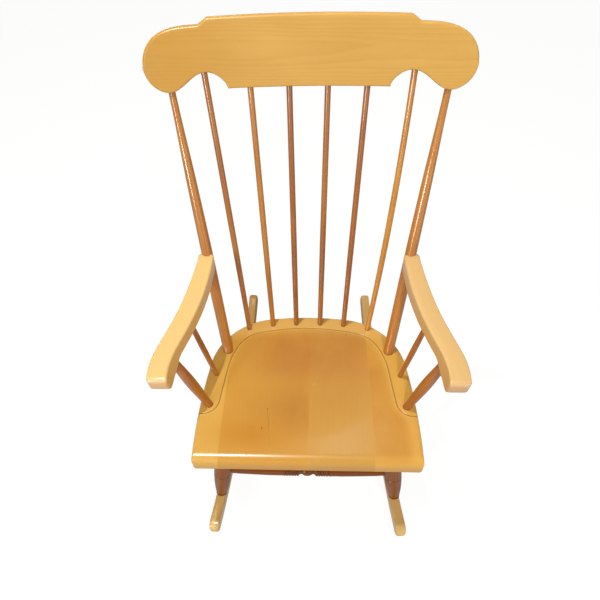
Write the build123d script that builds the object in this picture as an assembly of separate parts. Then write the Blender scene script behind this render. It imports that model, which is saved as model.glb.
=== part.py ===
from build123d import *
import os

# Rocking chair: plank seat, spindle back under a bowed crest rail, arms, turned legs on two runners.
# Millimetres. Z is up from the floor, X is to the right seen from the front, and the front faces -Y.
# The origin is on the floor, on the chair's plane of symmetry, midway between the runners' ends.

# Fits shared by every joint
FIT = 0.1                     # glue line round a tenon, on the radius
SOCKET_RELIEF = 0.5           # space left past the end of a tenon
AMPLE = 800.0                 # size of cutting blocks that only need to be large enough

# Seat plank
SEAT_HEIGHT = 396.2           # top of the flat rim above the floor, at the origin
SEAT_TILT = 3.6               # degrees, rear lower
SEAT_THICKNESS = 40.0
SEAT_FRONT = -322.0           # front edge, along the seat from the origin
SEAT_REAR = 99.0              # rear edge on the centre line
SEAT_WIDTH = 521.0
SEAT_WIDEST = -247.0          # where along the seat the full width lies
SEAT_REAR_RADIUS = 733.0
SEAT_SIDE_RADIUS = 1477.0
SEAT_CORNER_RADIUS = 170.0
SEAT_FRONT_CORNER_RADIUS = 14.0
SEAT_FRONT_ROLL = 24.0        # rounding of the front top edge
SEAT_EDGE_ROUNDING = 7.0      # rounding of the other top edges
SEAT_LOWER_ROUNDING = 10.0
SEAT_SEAMS = (-200.0, 7.0, 152.0)   # glue joints between the boards

# Hollow of the seat and the line scribed round it
SADDLE_CENTRE = -104.0
SADDLE_WIDTH = 366.0
SADDLE_LENGTH = 300.0
SADDLE_DEPTH = 7.0
SADDLE_DOME = 400.0           # height of the dome whose tip forms the hollow
GROOVE_WIDTH = 2.4
GROOVE_DEPTH = 1.2
GROOVE_REAR = (0.0, 75.5)
GROOVE_CORNER = (166.6, 33.2)
GROOVE_SIDE = (199.4, -41.0)
GROOVE_TURN = (216.0, -201.7)
GROOVE_END_RUN = 60.0         # straight run off the seat's side
GROOVE_REAR_RADIUS = 510.0
GROOVE_CORNER_RADIUS = 80.0
GROOVE_SIDE_RADIUS = 200.0
GROOVE_TURN_RADIUS = 38.0

# Crest rail
CREST_HEIGHT = 960.5          # lower edge above the floor, on the centre line
CREST_BACK = 263.2            # lower edge behind the origin
CREST_TILT = 20.0             # degrees from upright
CREST_THICKNESS = 21.0
CREST_BOW_RADIUS = 2400.0
CREST_TOP = 123.0             # board height on the centre line
CREST_TOP_END = (192.5, 119.0)      # end of the raised, slightly crowned top edge
CREST_SHOULDER = (210.5, 107.1)
CREST_LOBE_TOP = (246.0, 105.0)
CREST_LOBE_UPPER = (303.0, 83.0)
CREST_LOBE_END = (323.3, 42.0)
CREST_LOBE_LOWER = (310.0, 7.2)
CREST_LOBE_BOTTOM = (275.0, -8.2)
CREST_REVERSE = (241.0, 10.1)
CREST_NOTCH_TOP = (204.0, 27.3)
CREST_NOTCH_INNER = (169.0, 11.8)
CREST_NOTCH_CORNER = (162.0, -2.0)

# Back posts
POST_FOOT = (208.0, -15.0)    # on the seat
POST_HEAD = 276.0             # sideways place in the crest rail's round end
POST_HEAD_RISE = -8.2
POST_FOOT_RADIUS = 13.0
POST_SWELL_RADIUS = 13.2
POST_SWELL = 250.0            # distance of the thickest point from the foot
POST_TAPER_RADIUS = 11.1
POST_TAPER = 430.0            # distance of this radius from the foot
POST_HEAD_RADIUS = 7.1
POST_TENON = 26.0
CREST_TENON = 24.0

# Thin back spindles: foot on the seat, sideways place and rise in the crest rail
SPINDLES = (
    ((32.0, 74.0), 39.0, 0.0),
    ((95.0, 70.0), 118.0, -1.0),
    ((158.0, 57.0), 208.0, 27.0),
)
SPINDLE_FOOT_RADIUS = 6.5
SPINDLE_SWELL_RADIUS = 7.0
SPINDLE_SWELL = 210.0
SPINDLE_HEAD_RADIUS = 6.3
SPINDLE_TENON = 24.0

# Arms
ARM_HEIGHT = 628.0            # top face at the front end
ARM_FRONT = -238.0
ARM_RISE = 2.86               # degrees, rear higher
ARM_THICKNESS = 40.0
ARM_WIDTH = 40.0
ARM_REAR_WIDTH = 35.0         # at the post, widening to the full width by the second station
ARM_EDGE_ROUNDING = 5.0
ARM_NOSE_ROUNDING = 11.0
ARM_CHIN_ROUNDING = 16.0
ARM_FRONT_X = 298.6
ARM_FRONT_BEND = (14.3, 89.3)    # handle of the front bend, outwards and back from the front end
ARM_REAR_BEND = (12.0, 228.4)    # handle of the rear bend, outwards and forward from the post
ARM_STATIONS = 7              # places along the arm where its width is set
ARM_OVERRUN = 30.0            # stock beyond the post before the end is coped
ARM_COPE = 6.0                # how far the cope reaches round the post

# Supports under the arms
ARM_POST_FOOT = (236.0, -177.0)
ARM_POST_HEAD_SHARE = 0.775     # of the way along the arm from the back post
ARM_POST_END_RADIUS = 9.6
ARM_POST_SWELL_RADIUS = 12.4
ARM_POST_TENON = 24.0
ARM_SPINDLE_FOOT = (229.0, -91.0)
ARM_SPINDLE_HEAD_SHARE = 0.5
ARM_SPINDLE_END_RADIUS = 5.8
ARM_SPINDLE_SWELL_RADIUS = 7.0
ARM_SPINDLE_TENON = 20.0

# Screw from behind the back post into each arm, under a wood plug
SCREW_LENGTH = 45.0
SCREW_RADIUS = 2.2
SCREW_HEAD_RADIUS = 4.2
SCREW_HEAD_HEIGHT = 3.0
SCREW_TIP = 6.0
SCREW_DROP = 20.0             # below the arm's top face, at the post
PLUG_LENGTH = 5.0
PLUG_BORE = 15.0              # cut for the plug, run out past the back of the post

# Runners
RUNNER_BALANCE = -48.0        # lowest point, under the chair's centre of mass
RUNNER_X = 222.0              # centre line, straight out from the origin
RUNNER_TOE = 4.16             # degrees, closer together at the rear
RUNNER_RADIUS = 1000.0
RUNNER_HEIGHT = 37.0
RUNNER_WIDTH = 26.5
RUNNER_FRONT_REACH = 341.0    # from the lowest point, along the runner
RUNNER_REAR_REACH = 437.2
RUNNER_EDGE_ROUNDING = 3.5
RUNNER_TIP_ROUNDING = 13.0

# Legs: foot along the chair on its runner, head on the underside of the seat
FRONT_LEG_FOOT = -279.5
FRONT_LEG_HEAD = (198.0, -233.0)
REAR_LEG_FOOT = 138.0
REAR_LEG_HEAD = (158.0, 22.0)
LEG_SHAPE = (                 # height above the runner and radius
    (12.0, 13.4),
    (30.0, 17.6),
    (58.0, 20.0),
    (105.0, 22.3),
    (150.0, 23.0),
    (200.0, 21.8),
    (250.0, 18.6),
)
LEG_RIM_RADIUS = 14.2
LEG_RIM_HEIGHT = 5.0
LEG_HEAD_RADIUS = 15.0
LEG_RING_HEIGHT = 82.0
LEG_RING_RADIUS = 21.2
LEG_HEAD_TENON_RADIUS = 12.5
LEG_HEAD_TENON = 27.0
LEG_FOOT_TENON_RADIUS = 8.0
LEG_FOOT_TENON = 24.0
RING_DEPTH = 1.3
RING_WIDTH = 2.6

# Stretchers, set by their height above the floor at the legs they join
FRONT_STRETCHER_HEIGHT = 203.0
REAR_STRETCHER_HEIGHT = 203.0
SIDE_STRETCHER_HEIGHT = 172.0
STRETCHER_END_RADIUS = 7.6
STRETCHER_MIDDLE_RADIUS = 11.5
STRETCHER_TENON = 14.0        # depth past the leg's surface
STRETCHER_BEAD_RADIUS = 13.5
STRETCHER_BEAD_HALF = 11.0
STRETCHER_BEAD_EDGE_RADIUS = 9.6
STRETCHER_COVE_RADIUS = 7.6
STRETCHER_COVE_PLACE = 16.0
STRETCHER_BARREL_RADIUS = 14.2
STRETCHER_BARREL_START = 22.5
STRETCHER_FIRST_RING = 31.0
STRETCHER_RING_STEP = 7.6
STRETCHER_RINGS = 4

# Frames that pieces are laid out in
SEAT_TOP = Plane((0, 0, SEAT_HEIGHT), x_dir=(1, 0, 0), z_dir=Vector(0, 0, 1).rotate(Axis.X, -SEAT_TILT))
CREST_FACE = Plane(
    (0, CREST_BACK, CREST_HEIGHT),
    x_dir=(1, 0, 0),
    z_dir=Vector(0, -1, 0).rotate(Axis.X, -CREST_TILT),
)
ARM_TOP = Plane(
    (0, ARM_FRONT, ARM_HEIGHT),
    x_dir=(1, 0, 0),
    z_dir=Vector(0, 0, 1).rotate(Axis.X, ARM_RISE),
)


def seat_point(place, below=0.0):
    """Point on the plane of the seat's flat rim, or so far below it."""
    return SEAT_TOP.from_local_coords(Vector(place[0], place[1], -below))


def crest_point(across, rise):
    """Point in the middle of the crest rail's thickness."""
    forward = CREST_BOW_RADIUS - (CREST_BOW_RADIUS**2 - across**2) ** 0.5
    return CREST_FACE.from_local_coords(Vector(across, rise, forward))


def runner_frame():
    """Frame of the right runner at its lowest point: x to the rear, y up and z to the left."""
    toe = Vector(0, 1, 0).rotate(Axis.Z, RUNNER_TOE)
    slope = toe.X / toe.Y
    lowest = Vector(RUNNER_X + slope * RUNNER_BALANCE, RUNNER_BALANCE, 0)
    return Plane(lowest, x_dir=toe, z_dir=toe.cross(Vector(0, 0, 1)))


def runner_top(along_chair):
    """Point on the crown of the right runner, at a place along the chair."""
    frame = runner_frame()
    run = (along_chair - RUNNER_BALANCE) / frame.x_dir.Y
    crown_radius = RUNNER_RADIUS - RUNNER_HEIGHT
    rise = RUNNER_RADIUS - (crown_radius**2 - run**2) ** 0.5
    return frame.from_local_coords(Vector(run, rise, 0))


def along(start, end, distance):
    """Point at a distance from start towards end."""
    return start + (end - start).normalized() * distance


def rod(start, end, radius, before=0.0, after=0.0):
    """Cylinder from start to end, run on past either of them."""
    frame = Plane(along(start, end, -before), z_dir=end - start)
    length = (end - start).length + before + after
    return frame * Cylinder(radius, length, align=(Align.CENTER, Align.CENTER, Align.MIN))


def socket(start, mouth, radius, depth):
    """Round hole for the tenon of a piece that comes from start and enters at the mouth."""
    bottom = mouth + (mouth - start).normalized() * (depth + SOCKET_RELIEF)
    return rod(mouth, bottom, radius + FIT, before=2 * radius)


def spun(outline):
    """Solid of revolution about local Z from the edges of its outline, listed up the piece."""
    line = Wire(outline)
    low = line.position_at(0)
    high = line.position_at(1)
    closing = Polyline(high, (0, 0, high.Z), (0, 0, low.Z), low)
    return revolve(make_face([*line.edges(), *closing.edges()]), Axis.Z)


def swelling_rod(start, end, shape, tenon_before, tenon_after):
    """Turned rod whose radius runs smoothly through (distance, radius) pairs, with straight ends."""
    points = [(radius, 0, distance) for distance, radius in shape]
    first = points[0]
    last = points[-1]
    outline = [
        Line((first[0], 0, first[2] - tenon_before), first),
        Spline(points, tangents=[(0, 0, 1), (0, 0, 1)]),
        Line(last, (last[0], 0, last[2] + tenon_after)),
    ]
    return Plane(start, z_dir=end - start) * spun(outline)


def incised_ring(height, radius):
    """Cutter for a V-shaped ring round a turned piece."""
    profile = Polyline(
        (radius - RING_DEPTH, 0, height),
        (radius + RING_DEPTH, 0, height - RING_WIDTH),
        (radius + RING_DEPTH, 0, height + RING_WIDTH),
        close=True,
    )
    return revolve(make_face(profile), Axis.Z)


# Back

def back_post_ends():
    return seat_point(POST_FOOT), crest_point(POST_HEAD, POST_HEAD_RISE)


def back_post():
    foot, head = back_post_ends()
    length = (head - foot).length
    shape = [
        (0, POST_FOOT_RADIUS),
        (POST_SWELL, POST_SWELL_RADIUS),
        (POST_TAPER, POST_TAPER_RADIUS),
        (length, POST_HEAD_RADIUS),
    ]
    return swelling_rod(foot, head, shape, POST_TENON, CREST_TENON)


def back_spindle(foot_place, across, rise):
    foot = seat_point(foot_place)
    head = crest_point(across, rise)
    length = (head - foot).length
    shape = [(0, SPINDLE_FOOT_RADIUS), (SPINDLE_SWELL, SPINDLE_SWELL_RADIUS), (length, SPINDLE_HEAD_RADIUS)]
    return swelling_rod(foot, head, shape, SPINDLE_TENON, CREST_TENON)


def crest_outline():
    """Right half of the board's outline, from the top centre round the end to the lower centre."""
    shoulder_slope = Vector(*CREST_LOBE_TOP) - Vector(*CREST_SHOULDER)
    return [
        TangentArc((0, CREST_TOP), CREST_TOP_END, tangent=(1, 0)),
        Line(CREST_TOP_END, CREST_SHOULDER),
        Spline(
            [
                CREST_SHOULDER,
                CREST_LOBE_TOP,
                CREST_LOBE_UPPER,
                CREST_LOBE_END,
                CREST_LOBE_LOWER,
                CREST_LOBE_BOTTOM,
                CREST_REVERSE,
                CREST_NOTCH_TOP,
                CREST_NOTCH_INNER,
                CREST_NOTCH_CORNER,
            ],
            tangents=[shoulder_slope.normalized(), (0, -1)],
        ),
        TangentArc((0, 0), CREST_NOTCH_CORNER, tangent=(1, 0)),
    ]


def crest_rail():
    """Board cut to its outline and bent to a wide arc, its ends nearer the sitter."""
    half = crest_outline()
    other_half = [mirror(edge, about=Plane.YZ) for edge in half]
    board = extrude(CREST_FACE * make_face(half + other_half), AMPLE, both=True)
    outer = Circle(CREST_BOW_RADIUS + CREST_THICKNESS / 2)
    inner = Circle(CREST_BOW_RADIUS - CREST_THICKNESS / 2)
    bend_axis = Plane(
        CREST_FACE.from_local_coords(Vector(0, -CREST_TOP, CREST_BOW_RADIUS)),
        x_dir=CREST_FACE.x_dir,
        z_dir=CREST_FACE.y_dir,
    )
    bend = extrude(bend_axis * (outer - inner), AMPLE)
    rail = board & bend
    foot, head = back_post_ends()
    sockets = [(foot, head, POST_HEAD_RADIUS)]
    for foot_place, across, rise in SPINDLES:
        sockets.append((seat_point(foot_place), crest_point(across, rise), SPINDLE_HEAD_RADIUS))
    for foot, head, radius in sockets:
        hole = socket(foot, head, radius, CREST_TENON)
        rail = rail - hole - mirror(hole, about=Plane.YZ)
    return rail


# Arms

def arm_joint():
    """Where the back post's axis passes through the plane of the arm's top face."""
    foot, head = back_post_ends()
    low = ARM_TOP.to_local_coords(foot)
    high = ARM_TOP.to_local_coords(head)
    share = -low.Z / (high.Z - low.Z)
    return foot + (head - foot) * share


def arm_line():
    """Middle of the right arm in the plane of its top face, from the post to the front end."""
    rear = ARM_TOP.to_local_coords(arm_joint())
    return Bezier(
        (rear.X, rear.Y),
        (rear.X + ARM_REAR_BEND[0], rear.Y - ARM_REAR_BEND[1]),
        (ARM_FRONT_X + ARM_FRONT_BEND[0], ARM_FRONT_BEND[1]),
        (ARM_FRONT_X, 0),
    )


def arm_underside(share):
    """Point in the middle of the right arm's lower face, at a share of its length from the post."""
    point = arm_line().position_at(share)
    return ARM_TOP.from_local_coords(Vector(point.X, point.Y, -ARM_THICKNESS))


def arm_support(foot_place, head_share, end_radius, swell_radius, tenon):
    foot = seat_point(foot_place)
    head = arm_underside(head_share)
    length = (head - foot).length
    shape = [(0, end_radius), (length / 2, swell_radius), (length, end_radius)]
    return swelling_rod(foot, head, shape, tenon, tenon)


def arm_post():
    return arm_support(
        ARM_POST_FOOT,
        ARM_POST_HEAD_SHARE,
        ARM_POST_END_RADIUS,
        ARM_POST_SWELL_RADIUS,
        ARM_POST_TENON,
    )


def arm_spindle():
    return arm_support(
        ARM_SPINDLE_FOOT,
        ARM_SPINDLE_HEAD_SHARE,
        ARM_SPINDLE_END_RADIUS,
        ARM_SPINDLE_SWELL_RADIUS,
        ARM_SPINDLE_TENON,
    )


def screw_start():
    """Where the screw's head sits inside the back post, and the way it points into the arm."""
    foot, head = back_post_ends()
    axis = (head - foot).normalized()
    centre = arm_joint() - axis * (SCREW_DROP / axis.Z)
    forward = arm_line().tangent_at(0)
    heading = (ARM_TOP.x_dir * forward.X + ARM_TOP.y_dir * forward.Y).normalized()
    return centre - heading * (POST_SWELL_RADIUS - PLUG_LENGTH), heading


def arm_screw():
    """Countersunk wood screw, its head sunk in the back of the post."""
    start, heading = screw_start()
    outline = Polyline(
        (0, 0, 0),
        (SCREW_HEAD_RADIUS, 0, 0),
        (SCREW_RADIUS, 0, SCREW_HEAD_HEIGHT),
        (SCREW_RADIUS, 0, SCREW_LENGTH - SCREW_TIP),
        (0, 0, SCREW_LENGTH),
        close=True,
    )
    return Plane(start, z_dir=heading) * revolve(make_face(outline), Axis.Z)


def screw_hole():
    """Clearance round the screw, with the wider bore that the plug closes."""
    start, heading = screw_start()
    outline = Polyline(
        (0, 0, -PLUG_BORE),
        (SCREW_HEAD_RADIUS + FIT, 0, -PLUG_BORE),
        (SCREW_HEAD_RADIUS + FIT, 0, 0),
        (SCREW_RADIUS + FIT, 0, SCREW_HEAD_HEIGHT + FIT),
        (SCREW_RADIUS + FIT, 0, SCREW_LENGTH + SOCKET_RELIEF),
        (0, 0, SCREW_LENGTH + SOCKET_RELIEF),
        close=True,
    )
    return Plane(start, z_dir=heading) * revolve(make_face(outline), Axis.Z)


def arm_screw_plug():
    """Wood plug over the screw head, trimmed to the post's round back."""
    start, heading = screw_start()
    return rod(start - heading * FIT, start - heading * PLUG_BORE, SCREW_HEAD_RADIUS) & back_post()


def arm_blank():
    """Right arm as sawn and rounded over, running on past the back post."""
    line = arm_line()
    stations = [number / (ARM_STATIONS - 1) for number in range(ARM_STATIONS)]
    widths = [ARM_REAR_WIDTH, (ARM_REAR_WIDTH + ARM_WIDTH) / 2] + [ARM_WIDTH] * (ARM_STATIONS - 2)
    middle = [line.position_at(share) for share in stations]
    sides = [line.tangent_at(share).rotate(Axis.Z, 90) * width / 2 for share, width in zip(stations, widths)]
    inner = [point - side for point, side in zip(middle, sides)]
    outer = [point + side for point, side in zip(middle, sides)]
    rear_run = -line.tangent_at(0) * ARM_OVERRUN
    outline = [
        Line(inner[0] + rear_run, inner[0]),
        Spline(inner, tangents=[line.tangent_at(0), line.tangent_at(1)]),
        Line(inner[-1], outer[-1]),
        Spline(outer[::-1], tangents=[-line.tangent_at(1), -line.tangent_at(0)]),
        Line(outer[0], outer[0] + rear_run),
        Line(outer[0] + rear_run, inner[0] + rear_run),
    ]
    blank = ARM_TOP * extrude(make_face(outline), -ARM_THICKNESS)
    front = blank.faces().sort_by(Axis.Y)[0]
    blank = fillet(front.edges().sort_by(Axis.Z)[-1], ARM_NOSE_ROUNDING)
    front = blank.faces().filter_by(GeomType.PLANE).sort_by(Axis.Y)[0]
    blank = fillet(front.edges().sort_by(Axis.Z)[0], ARM_CHIN_ROUNDING)
    return fillet(blank.edges().sort_by(SortBy.LENGTH)[-4:], ARM_EDGE_ROUNDING)


def arm():
    """Right arm, coped to the post and bored from below for its supports."""
    foot, head = back_post_ends()
    axis = (head - foot).normalized()
    heading = screw_start()[1]
    off_post = (heading - axis * heading.dot(axis)).normalized()
    end = Plane(arm_joint() + off_post * (POST_SWELL_RADIUS - ARM_COPE), z_dir=-off_post)
    behind = end * Box(AMPLE, AMPLE, AMPLE, align=(Align.CENTER, Align.CENTER, Align.MIN))
    body = arm_blank() - behind - rod(foot, head, POST_SWELL_RADIUS + FIT)
    for place, share, radius, tenon in (
        (ARM_POST_FOOT, ARM_POST_HEAD_SHARE, ARM_POST_END_RADIUS, ARM_POST_TENON),
        (ARM_SPINDLE_FOOT, ARM_SPINDLE_HEAD_SHARE, ARM_SPINDLE_END_RADIUS, ARM_SPINDLE_TENON),
    ):
        body = body - socket(seat_point(place), arm_underside(share), radius, tenon)
    return body - screw_hole()


# Undercarriage

def runner_blank(width, rounding):
    """Right runner as a curved bar of this width, its ends rounded."""
    frame = runner_frame()
    centre = (0, RUNNER_RADIUS)
    bar = Pos(*centre) * (Circle(RUNNER_RADIUS) - Circle(RUNNER_RADIUS - RUNNER_HEIGHT))
    reach = RUNNER_FRONT_REACH + RUNNER_REAR_REACH
    window = Pos((RUNNER_REAR_REACH - RUNNER_FRONT_REACH) / 2, 0) * Rectangle(reach, RUNNER_RADIUS)
    bar = bar & window
    bar = fillet(bar.vertices(), RUNNER_TIP_ROUNDING)
    runner = extrude(frame * bar, width / 2, both=True)
    if rounding > 0:
        sides = runner.faces().filter_by(Axis(frame.origin, frame.z_dir))
        runner = fillet([edge for side in sides for edge in side.edges()], rounding)
    return runner


def leg_ends(foot_along, head_place):
    """Foot on the runner's crown and head on the underside of the seat, for a right leg."""
    return runner_top(foot_along), seat_point(head_place, below=SEAT_THICKNESS)


FRONT_LEG = leg_ends(FRONT_LEG_FOOT, FRONT_LEG_HEAD)
REAR_LEG = leg_ends(REAR_LEG_FOOT, REAR_LEG_HEAD)


def runner():
    bar = runner_blank(RUNNER_WIDTH, RUNNER_EDGE_ROUNDING)
    for foot, head in (FRONT_LEG, REAR_LEG):
        bar = bar - socket(head, foot, LEG_FOOT_TENON_RADIUS, LEG_FOOT_TENON)
    return bar


def leg(ends, stretcher_sockets):
    """Turned leg, its foot scribed to the runner and its head cut to the seat's underside."""
    foot, head = ends
    length = (head - foot).length
    points = [(radius, 0, height) for height, radius in LEG_SHAPE]
    points.append((LEG_HEAD_RADIUS, 0, length))
    outline = [
        Line((LEG_RIM_RADIUS, 0, -LEG_RIM_RADIUS), (LEG_RIM_RADIUS, 0, LEG_RIM_HEIGHT)),
        Line((LEG_RIM_RADIUS, 0, LEG_RIM_HEIGHT), points[0]),
        Spline(points),
        Line(points[-1], (LEG_HEAD_RADIUS, 0, length + LEG_HEAD_RADIUS)),
    ]
    body = spun(outline) - incised_ring(LEG_RING_HEIGHT, LEG_RING_RADIUS)
    body = Plane(foot, z_dir=head - foot) * body
    above = Box(AMPLE, AMPLE, AMPLE, align=(Align.CENTER, Align.CENTER, Align.MIN))
    body = body - SEAT_TOP * Pos(0, 0, -SEAT_THICKNESS) * above - runner_blank(AMPLE, 0)
    foot_tenon = rod(foot, along(foot, head, LEG_RIM_RADIUS), LEG_FOOT_TENON_RADIUS, before=LEG_FOOT_TENON)
    head_tenon = rod(along(head, foot, LEG_HEAD_RADIUS), head, LEG_HEAD_TENON_RADIUS, after=LEG_HEAD_TENON)
    body = body + foot_tenon + head_tenon
    for hole in stretcher_sockets:
        body = body - hole
    return body


def at_height(ends, height):
    """Point on a leg's axis at a height above the floor."""
    foot, head = ends
    return foot + (head - foot) * ((height - foot.Z) / (head.Z - foot.Z))


def leg_radius(ends, height):
    """Radius of a leg at a height above the floor."""
    foot, head = ends
    up = (at_height(ends, height) - foot).length
    stations = [*LEG_SHAPE, ((head - foot).length, LEG_HEAD_RADIUS)]
    for (low, low_radius), (high, high_radius) in zip(stations, stations[1:]):
        if low <= up <= high:
            return low_radius + (high_radius - low_radius) * (up - low) / (high - low)
    return LEG_RIM_RADIUS


def mirrored(point):
    return Vector(-point.X, point.Y, point.Z)


def stretcher_run(start_leg, start, end_leg, end, height):
    """Ends of a stretcher's tenons inside the two legs that it joins."""
    first = along(start, end, leg_radius(start_leg, height) - STRETCHER_TENON)
    last = along(end, start, leg_radius(end_leg, height) - STRETCHER_TENON)
    return first, last


def cross_run(ends, height):
    point = at_height(ends, height)
    return stretcher_run(ends, mirrored(point), ends, point, height)


def side_run():
    front = at_height(FRONT_LEG, SIDE_STRETCHER_HEIGHT)
    rear = at_height(REAR_LEG, SIDE_STRETCHER_HEIGHT)
    return stretcher_run(FRONT_LEG, front, REAR_LEG, rear, SIDE_STRETCHER_HEIGHT)


FRONT_RUN = cross_run(FRONT_LEG, FRONT_STRETCHER_HEIGHT)
REAR_RUN = cross_run(REAR_LEG, REAR_STRETCHER_HEIGHT)
SIDE_RUN = side_run()


def stretcher_hole(run, at_start):
    """Socket in a leg for one end of a stretcher."""
    near, far = run if at_start else run[::-1]
    return rod(near, far, STRETCHER_END_RADIUS + FIT, before=SOCKET_RELIEF)


def plain_stretcher(run):
    start, end = run
    length = (end - start).length
    shape = [
        (STRETCHER_TENON, STRETCHER_END_RADIUS),
        (length / 2, STRETCHER_MIDDLE_RADIUS),
        (length - STRETCHER_TENON, STRETCHER_END_RADIUS),
    ]
    return swelling_rod(start, end, shape, STRETCHER_TENON, STRETCHER_TENON)


def front_stretcher():
    """Turned stretcher with a bead between two coves and a band of rings each side of them."""
    start, end = FRONT_RUN
    half = (end - start).length / 2
    rings = [STRETCHER_FIRST_RING + STRETCHER_RING_STEP * n for n in range(STRETCHER_RINGS)]
    tip = (STRETCHER_END_RADIUS, 0, -half)
    tenon_end = (STRETCHER_END_RADIUS, 0, STRETCHER_TENON - half)
    barrel_end = (STRETCHER_BARREL_RADIUS, 0, -rings[-1] - STRETCHER_RING_STEP)
    barrel_start = (STRETCHER_BARREL_RADIUS, 0, -STRETCHER_BARREL_START)
    cove = (STRETCHER_COVE_RADIUS, 0, -STRETCHER_COVE_PLACE)
    bead_edge = (STRETCHER_BEAD_EDGE_RADIUS, 0, -STRETCHER_BEAD_HALF)
    bead_top = (STRETCHER_BEAD_RADIUS, 0, 0)
    far_bead_edge = (STRETCHER_BEAD_EDGE_RADIUS, 0, STRETCHER_BEAD_HALF)
    outline = [
        Line(tip, tenon_end),
        Spline(tenon_end, barrel_end, tangents=[(0, 0, 1), (0, 0, 1)]),
        Line(barrel_end, barrel_start),
        ThreePointArc(barrel_start, cove, bead_edge),
        ThreePointArc(bead_edge, bead_top, far_bead_edge),
    ]
    other_end = [mirror(edge, about=Plane.XY).edges()[0] for edge in outline[:-1]]
    body = spun(outline + other_end[::-1])
    for ring in rings:
        body = body - incised_ring(ring, STRETCHER_BARREL_RADIUS)
        body = body - incised_ring(-ring, STRETCHER_BARREL_RADIUS)
    return Plane((start + end) / 2, z_dir=end - start) * body


def front_leg():
    return leg(FRONT_LEG, [stretcher_hole(FRONT_RUN, False), stretcher_hole(SIDE_RUN, True)])


def rear_leg():
    return leg(REAR_LEG, [stretcher_hole(REAR_RUN, False), stretcher_hole(SIDE_RUN, False)])


# Seat

def seat_outline():
    """Overlap of three wide discs, cut straight across the front, with rounded corners."""
    side_centre = SEAT_WIDTH / 2 - SEAT_SIDE_RADIUS
    rear_disc = Pos(0, SEAT_REAR - SEAT_REAR_RADIUS) * Circle(SEAT_REAR_RADIUS)
    right_disc = Pos(side_centre, SEAT_WIDEST) * Circle(SEAT_SIDE_RADIUS)
    left_disc = Pos(-side_centre, SEAT_WIDEST) * Circle(SEAT_SIDE_RADIUS)
    front_cut = Pos(0, SEAT_FRONT) * Rectangle(
        AMPLE,
        AMPLE,
        align=(Align.CENTER, Align.MIN),
    )
    outline = rear_disc & right_disc & left_disc & front_cut
    outline = fillet(outline.vertices().sort_by(Axis.Y)[2:], SEAT_CORNER_RADIUS)
    return fillet(outline.vertices().sort_by(Axis.Y)[:2], SEAT_FRONT_CORNER_RADIUS)


def seat_plank():
    """The whole seat before it is parted into boards, in the frame of its top."""
    plank = extrude(seat_outline(), -SEAT_THICKNESS)
    top = plank.faces().filter_by(Plane.XY).sort_by(Axis.Z)[-1]
    plank = fillet(top.edges(), SEAT_EDGE_ROUNDING)
    base = plank.faces().filter_by(Plane.XY).sort_by(Axis.Z)[0]
    plank = fillet(base.edges(), SEAT_LOWER_ROUNDING)
    corner = Rectangle(2 * SEAT_FRONT_ROLL, 2 * SEAT_FRONT_ROLL)
    kept = Pos(SEAT_FRONT_ROLL, -SEAT_FRONT_ROLL) * (
        Circle(SEAT_FRONT_ROLL)
        + Pos(SEAT_FRONT_ROLL, 0) * corner
        + Pos(0, -SEAT_FRONT_ROLL) * corner
    )
    front_section = Plane.YZ * Pos(SEAT_FRONT, 0) * (corner - kept)
    return plank - extrude(front_section, AMPLE, both=True)


def saddle():
    """Cutter for the seat's hollow: the lower tip of a stretched ball."""
    rim = (1 - ((SADDLE_DOME - SADDLE_DEPTH) / SADDLE_DOME) ** 2) ** 0.5
    ball = scale(Sphere(1), by=(SADDLE_WIDTH / 2 / rim, SADDLE_LENGTH / 2 / rim, SADDLE_DOME))
    ball = Pos(0, SADDLE_CENTRE, SADDLE_DOME - SADDLE_DEPTH) * ball
    return ball & Box(AMPLE, AMPLE, 2 * SADDLE_DEPTH)


def scribed_line():
    """Cutter for the shallow groove that follows the hollow and runs off the sides."""
    half = [GROOVE_CORNER, GROOVE_SIDE, GROOVE_TURN, (GROOVE_TURN[0] + GROOVE_END_RUN, GROOVE_TURN[1])]
    points = [(-x, y) for x, y in half[::-1]] + [GROOVE_REAR] + half
    bends = [GROOVE_TURN_RADIUS, GROOVE_SIDE_RADIUS, GROOVE_CORNER_RADIUS]
    path = FilletPolyline(*points, radius=bends + [GROOVE_REAR_RADIUS] + bends[::-1])
    apron = Polyline(
        points[-1],
        (points[-1][0], SEAT_FRONT - GROOVE_END_RUN),
        (points[0][0], SEAT_FRONT - GROOVE_END_RUN),
        points[0],
    )
    inside = make_face([*path.edges(), *apron.edges()])
    return extrude(offset(inside, GROOVE_WIDTH) - inside, GROOVE_DEPTH, both=True)


def seat_sockets():
    """Every hole in the plank, for the pieces that stand on it and the legs below it."""
    foot, head = back_post_ends()
    holes = [socket(head, foot, POST_FOOT_RADIUS, POST_TENON)]
    for foot_place, across, rise in SPINDLES:
        head = crest_point(across, rise)
        holes.append(socket(head, seat_point(foot_place), SPINDLE_FOOT_RADIUS, SPINDLE_TENON))
    for foot_place, share, radius, tenon in (
        (ARM_POST_FOOT, ARM_POST_HEAD_SHARE, ARM_POST_END_RADIUS, ARM_POST_TENON),
        (ARM_SPINDLE_FOOT, ARM_SPINDLE_HEAD_SHARE, ARM_SPINDLE_END_RADIUS, ARM_SPINDLE_TENON),
    ):
        holes.append(socket(arm_underside(share), seat_point(foot_place), radius, tenon))
    for foot, head in (FRONT_LEG, REAR_LEG):
        holes.append(socket(foot, head, LEG_HEAD_TENON_RADIUS, LEG_HEAD_TENON))
    return holes + [mirror(hole, about=Plane.YZ) for hole in holes]


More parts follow.
